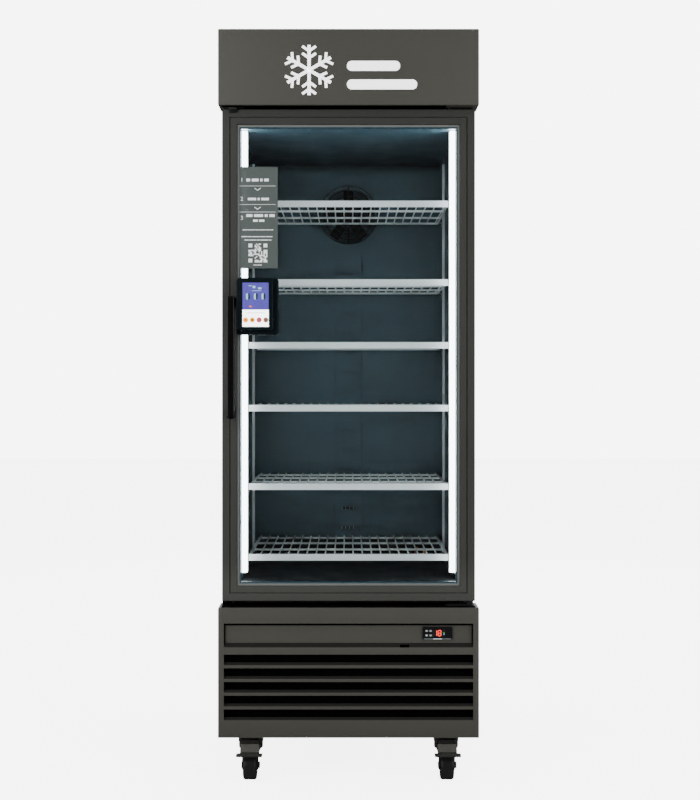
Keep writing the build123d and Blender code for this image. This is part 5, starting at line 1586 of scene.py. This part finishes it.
@dataclass
class StrikeCover:
    """Black moulded cover over the lock's strike, at the door's top corner."""

    left: float = 0.0195
    width: float = 0.028
    height: float = 0.0095
    taper: float = 0.008
    proud: float = 0.0025
    ease: float = 0.0008

    def build(self) -> None:
        """Make the cover, narrower towards its foot."""
        low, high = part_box("door_frame")
        start = low.x + self.left
        cover = Piece.block(
            "strike_cover", (start, low.y - self.proud, high.z - self.height),
            (start + self.width, low.y, high.z),
        )
        cover.edit(
            "VERT", lambda vert: vert.co.x > start + self.width / 2
            and vert.co.z < high.z - self.height / 2,
            lambda: bpy.ops.transform.translate(value=(-self.taper, 0.0, 0.0)),
        )
        cover.soften(self.ease, 3)
        cover.smooth(CREASE)
        cover.dress(BLACK_PLASTIC).fix("door", "black_plastic")


@dataclass
class Shelves:
    """Six wire shelves, each one mesh of round wires."""

    wire: float = 0.002
    bar: float = 0.003
    wire_count: int = 22
    wire_in: float = 0.006
    drop: float = 0.014
    bend: float = 0.005
    bar_shares: tuple[float, ...] = (0.02, 0.35, 0.68, 0.98)
    slots: tuple[int, ...] = (0, 9, 19, 27, 35, 45)
    weld: float = 0.001
    sides: int = 12
    bend_steps: int = 5

    def build(self) -> None:
        """Make the lowest shelf and copy it up."""
        low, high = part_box("wire_shelves")
        top = low.z + self.drop + self.wire
        slot_step = (high.z - top) / self.slots[-1]
        first = self.shelf(low, high, top)
        for number, slot in enumerate(self.slots, start=1):
            lift = Matrix.Translation((0.0, 0.0, slot * slot_step))
            shelf = first.copy(f"wire_shelf_{number}", lift)
            shelf.smooth(ROUND_CREASE)
            shelf.dress(SHELF_COAT).fix("cabinet", "shelf_white", "wire_shelves")
        bpy.data.objects.remove(first.shape)

    def shelf(self, low: Vector, high: Vector, top: float) -> Piece:
        """One shelf: bent wires over crosswise bars."""
        half = high.x - self.bar
        front = low.y + self.wire
        back = high.y
        level = top - self.wire
        wire = self.bent_wire(front, back, level)
        pitch = 2 * (half - self.wire_in) / (self.wire_count - 1)
        start = -half + self.wire_in
        wires = [
            wire.copy("wire", Matrix.Translation((start + number * pitch, 0.0, 0.0)))
            for number in range(self.wire_count)
        ]
        bpy.data.objects.remove(wire.shape)
        bar_level = top - 2 * self.wire - self.bar + self.weld
        depth = back - front
        places = [front + share * depth for share in self.bar_shares]
        bars = [
            Piece.drum("bar", (-half, y, bar_level), (half, y, bar_level), self.bar, self.sides)
            for y in places
        ]
        for x in (-half, half):
            bars.append(Piece.drum(
                "bar", (x, places[0], bar_level), (x, places[-1], bar_level), self.bar,
                self.sides,
            ))
        return wires[0].join(wires[1:] + bars)

    def bent_wire(self, front: float, back: float, level: float) -> Piece:
        """A wire along the depth whose front end turns down."""
        wire = Piece.drum(
            "wire", (0.0, back, level), (0.0, front + self.bend, level), self.wire, self.sides
        )
        pivot = (0.0, front + self.bend, level - self.bend)
        wire.edit(
            "FACE", lambda face: face.normal.y < -FACING,
            lambda: bpy.ops.mesh.spin(
                steps=self.bend_steps, angle=math.pi / 2, center=pivot, axis=(1.0, 0.0, 0.0)
            ),
        )
        wire.edit(
            "FACE",
            lambda face: face.normal.z < -FACING
            and face.calc_center_median().y < front + self.wire,
            extrude(0.0, 0.0, -(self.drop - self.bend)),
        )
        return wire


@dataclass
class Castors:
    """Tyred wheels for the four castors."""

    places: tuple[str, ...] = ("front_left", "front_right", "rear_left", "rear_right")
    shoulder: float = 0.006
    rim: float = 0.012
    dish: float = 0.004
    hub: float = 0.013
    bore: float = 0.00505
    tread: float = 0.008
    side_edge: float = 0.0012
    hub_edge: float = 0.0008
    round_sides: int = 48
    skirt_radius: float = 0.0325
    skirt_low: float = 0.0775
    skirt_high: float = 0.0990
    skirt_round: float = 0.005
    arms_half: float = 0.0262
    arms_back: float = 0.012
    pin_radius: float = 0.016
    pin_low: float = 0.085

    def build(self) -> None:
        """Put a wheel in each fork and dress the rest."""
        for place in self.places:
            self.wheel(place)
            dress_node(f"castor_fork_{place}", CASTOR_DARK)
            if place.startswith("front"):
                self.pedal(f"castor_brake_{place}")
                self.skirt(place)
        dress_node("castor_plates", BLACK_PAINT)

    def pedal(self, node: str) -> None:
        """Dress a brake pedal, its upright plate painted paler than its tread: painted light
        where the plate faces the lamps above.
        """
        dress_node(node, CASTOR_DARK)
        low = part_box(node)[0]
        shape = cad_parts[node]
        plate = len(shape.data.materials)
        shape.data.materials.append(CASTOR_PAINTED_HIGHLIGHT.material())
        for polygon in shape.data.polygons:
            if (shape.matrix_world @ polygon.center).z > low.z + self.tread:
                polygon.material_index = plate

    def skirt(self, place: str) -> None:
        """A cup that hangs from the fork's cap, open where the pedal's arms pass."""
        low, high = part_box(f"castor_fork_{place}")
        x = (low.x + high.x) / 2
        y = high.y - (high.x - low.x) / 2
        cup = Piece.drum(f"castor_skirt_{place}", (x, y, self.skirt_low),
                         (x, y, self.skirt_high), self.skirt_radius, self.round_sides)
        cup.edit("EDGE", edge_at(2, self.skirt_low), round_off(self.skirt_round, 5))
        over = self.skirt_high * 2
        arms = Piece.block("arms", (x - self.arms_half, y - self.skirt_radius * 2, 0.0),
                           (x + self.arms_half, y - self.arms_back, over))
        pin = Piece.drum("pin", (x, y, self.pin_low), (x, y, over), self.pin_radius)
        cup.subtract((arms, pin))
        cup.smooth(CREASE)
        cup.dress(CASTOR_DARK).fix(f"castor_fork_{place}", "black_paint")

    def wheel(self, place: str) -> None:
        """Wheel with a rounded tread, a dished side and a hub."""
        low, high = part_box(f"castor_wheel_{place}")
        centre = (low + high) / 2
        radius = (high.z - low.z) / 2
        tyre = Piece.drum(
            f"wheel_{place}", (low.x, centre.y, centre.z), (high.x, centre.y, centre.z),
            radius, self.round_sides,
        )

        def side(face: bmesh.types.BMFace) -> bool:
            """Whether a face is one of the wheel's flat sides."""
            return abs(face.normal.x) > FACING

        tyre.edit("EDGE", lambda edge: any(side(face) for face in edge.link_faces),
                  round_off(self.shoulder, 5))
        tyre.edit("FACE", lambda face: side(face) and len(face.verts) > 8,
                  inset(self.rim - self.shoulder), inset(self.side_edge, -self.dish),
                  inset(radius - self.rim - self.hub), inset(self.hub_edge, self.dish),
                  inset(self.hub - self.hub_edge - self.bore),
                  lambda: bpy.ops.mesh.bridge_edge_loops())
        tyre.smooth(CREASE)
        tyre.dress(WHEEL_RUBBER)
        tyre.fix(f"castor_wheel_{place}", "wheel_rubber", f"castor_wheel_{place}")


@dataclass
class BackPanel:
    """Pressed ribs and screws on the rear skin."""

    levels: tuple[float, ...] = (0.72, 0.97, 1.22, 1.47, 1.72)
    half: float = 0.235
    height: float = 0.026
    proud: float = 0.0032
    edge: float = 0.014
    end_round_share: float = 0.45
    front_round_share: float = 0.8
    columns: int = 5
    rows: int = 9
    head: float = 0.0042
    head_height: float = 0.0022
    head_round_share: float = 0.6
    recess: float = 0.0016
    recess_share: float = 0.6
    recess_floor_share: float = 0.4

    def build(self) -> None:
        """Press the ribs and drive the screws."""
        low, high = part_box("back_panel")
        ribs = []
        for level in self.levels:
            rib = Piece.block(
                "rib", (-self.half, high.y - BEDDED, level - self.height / 2),
                (self.half, high.y + self.proud, level + self.height / 2),
            )
            ends = self.height * self.end_round_share
            rib.edit("EDGE", edge_along_depth, round_off(ends, 8))
            top = self.proud * self.front_round_share
            rib.edit("EDGE", edge_at(1, high.y + self.proud), round_off(top))
            rib.smooth(FULL_ROUND_CREASE)
            ribs.append(rib)
        panel = ribs[0].join(ribs[1:])
        panel.shape.name = "back_ribs"
        panel.dress(GALVANISED).fix("cabinet", "galvanised")
        self.screws(low, high)

    def screws(self, low: Vector, high: Vector) -> None:
        """A row of screws along each side of the rear skin and along its top."""
        half, top, foot = high.x - self.edge, high.z - self.edge, low.z + self.edge * 2
        side_levels = [foot + (top - foot) * row / (self.rows - 1) for row in range(self.rows)]
        spots = [(side * half, level) for side in (-1, 1) for level in side_levels]
        step = 2 * half / (self.columns - 1)
        spots += [(-half + step * column, top) for column in range(1, self.columns - 1)]
        first = self.screw((0.0, high.y, 0.0))
        heads = [
            first.copy("screw", Matrix.Translation((x, 0.0, z))) for x, z in spots
        ]
        bpy.data.objects.remove(first.shape)
        screws = heads[0].join(heads[1:])
        screws.shape.name = "back_screws"
        screws.smooth(CREASE)
        screws.dress(ZINC).fix("cabinet", "zinc_steel")

    def screw(self, place: Place) -> Piece:
        """A pan head with a cross recess, which looks to the back."""
        x, y, z = place
        head = Piece.drum(
            "screw", (x, y - BEDDED, z), (x, y + self.head_height, z), self.head, 20
        )
        top = self.head_height * self.head_round_share
        head.edit("EDGE", edge_at(1, y + self.head_height), round_off(top, 3))
        floor = y + self.head_height * self.recess_floor_share
        sizes = (self.recess * 3, self.recess * self.recess_share)
        for wide, tall in (sizes, sizes[::-1]):
            slot = Piece.block(
                "slot", (x - wide / 2, floor, z - tall / 2),
                (x + wide / 2, y + self.head_height * 2, z + tall / 2),
            )
            head.subtract((slot,))
        return head


@dataclass
class FanGuard:
    """Wire guard in front of the duct's fan."""

    wire: float = 0.0013
    rings: tuple[float, ...] = (0.022, 0.040, 0.058, 0.076, 0.090)
    spokes: int = 6
    ahead: float = 0.004
    wire_sides: int = 10
    ring_steps: int = 64

    def build(self) -> None:
        """Bend the rings and lay the spokes over them."""
        low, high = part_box("evaporator_fan")
        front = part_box("duct_panel")[0].y - self.ahead
        x = (low.x + high.x) / 2
        z = (low.z + high.z) / 2
        wires = []
        for radius in self.rings:
            deselect()
            bpy.ops.mesh.primitive_torus_add(
                major_radius=radius, minor_radius=self.wire, major_segments=self.ring_steps,
                minor_segments=self.wire_sides, location=(x, front, z),
                rotation=(math.pi / 2, 0.0, 0.0),
            )
            wires.append(Piece(bpy.context.active_object, "ring"))
        for number in range(self.spokes):
            turn = 2 * math.pi * number / self.spokes + math.pi / self.spokes
            across, up = math.cos(turn), math.sin(turn)
            near_end, far_end = self.rings[0], self.rings[-1]
            wires.append(Piece.drum(
                "spoke", (x + across * near_end, front - self.wire, z + up * near_end),
                (x + across * far_end, front - self.wire, z + up * far_end), self.wire,
                self.wire_sides,
            ))
        guard = wires[0].join(wires[1:])
        guard.shape.name = "fan_guard"
        guard.smooth(ROUND_CREASE)
        guard.dress(BLACK_PAINT).fix("cabinet", "black_paint")


@dataclass
class FilterPad:
    """Black air filter behind the louvres, near black so that it stands as painted shade for the
    dark machine bay.
    """

    half: float = 0.338
    low: float = 0.1215
    high: float = 0.352
    setback: float = 0.022
    thickness: float = 0.006
    border: float = 0.008
    press: float = 0.002

    def build(self) -> None:
        """Make the pad with a pressed border."""
        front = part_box("base_grille")[0].y + self.setback
        pad = Piece.block(
            "air_filter", (-self.half, front, self.low),
            (self.half, front + self.thickness, self.high),
        )
        pad.edit(
            "FACE", lambda face: face.normal.y < -FACING,
            inset(self.border), inset(self.press, -self.press),
        )
        pad.dress(FILTER_FOAM_AND_SHADE).fix("cabinet", "black_plastic")


NODE_FINISHES: dict[str, Surface] = {
    "side_panels": BODY_PAINT,
    "back_panel": GALVANISED,
    "top_panel": GALVANISED,
    "rear_cover": GALVANISED,
    "insulation_foam": YELLOW_FOAM,
    "inner_liner": LINER_PAINT,
    "front_frame": BLACK_PAINT,
    "base_chassis": GALVANISED,
    "control_strip": BODY_PAINT,
    "cover_screws": ZINC,
    "controller_case": BLACK_PLASTIC,
    "controller_display": DISPLAY_LENS,
    "button_set": GREY_PLASTIC,
    "button_up": GREY_PLASTIC,
    "button_down": GREY_PLASTIC,
    "button_light": GREY_PLASTIC,
    "hinge_brackets": BLACK_PAINT,
    "hinge_cartridges": ZINC,
    "door_frame": DOOR_PAINT,
    "glass_panes": CLEAR_GLASS,
    "glass_spacer": SPACER_BAR,
    "glazing_beads": BLACK_PLASTIC,
    "door_gasket": SEAL_RUBBER,
    "lock_strike": ZINC,
    "lock_housing": BODY_PAINT,
    "lock_bolt": ZINC,
    "ticket_rails": GLOWING_WHITE_PLASTIC,
    "shelf_pilasters": SHELF_COAT,
    "shelf_clips": ZINC,
    "duct_panel": LINER_PAINT,
    "led_channels": FIN_METAL,
    "led_diffusers": LIGHT_BAR,
    "evaporator_coil": FIN_METAL,
    "evaporator_fan": BLACK_PLASTIC,
    "compressor": BLACK_PAINT,
    "condenser_coil": FIN_METAL,
    "condenser_shroud": GALVANISED,
    "condenser_fan": BLACK_PLASTIC,
    "fan_motors": BLACK_PAINT,
    "drain_pan_and_hose": GREY_PLASTIC,
    "refrigerant_pipes": COPPER,
    "electronics_box": BLACK_PLASTIC,
    "power_inlet": BLACK_PLASTIC,
}


def main() -> None:
    """Dress the frame, then build each assembly and the stage."""
    logging.basicConfig(level=logging.INFO, format="%(message)s")
    for node, finish in NODE_FINISHES.items():
        dress_node(node, finish)
    assemblies = (
        Covers(), Emblem(), Controller(), Handle(), Terminal(), GuideSheet(),
        GlassEdge(), StrikeCover(), Shelves(), FanGuard(), Castors(), FilterPad(),
        BackPanel(), Stage(),
    )
    for assembly in assemblies:
        assembly.build()


if __name__ == "__main__":
    main()
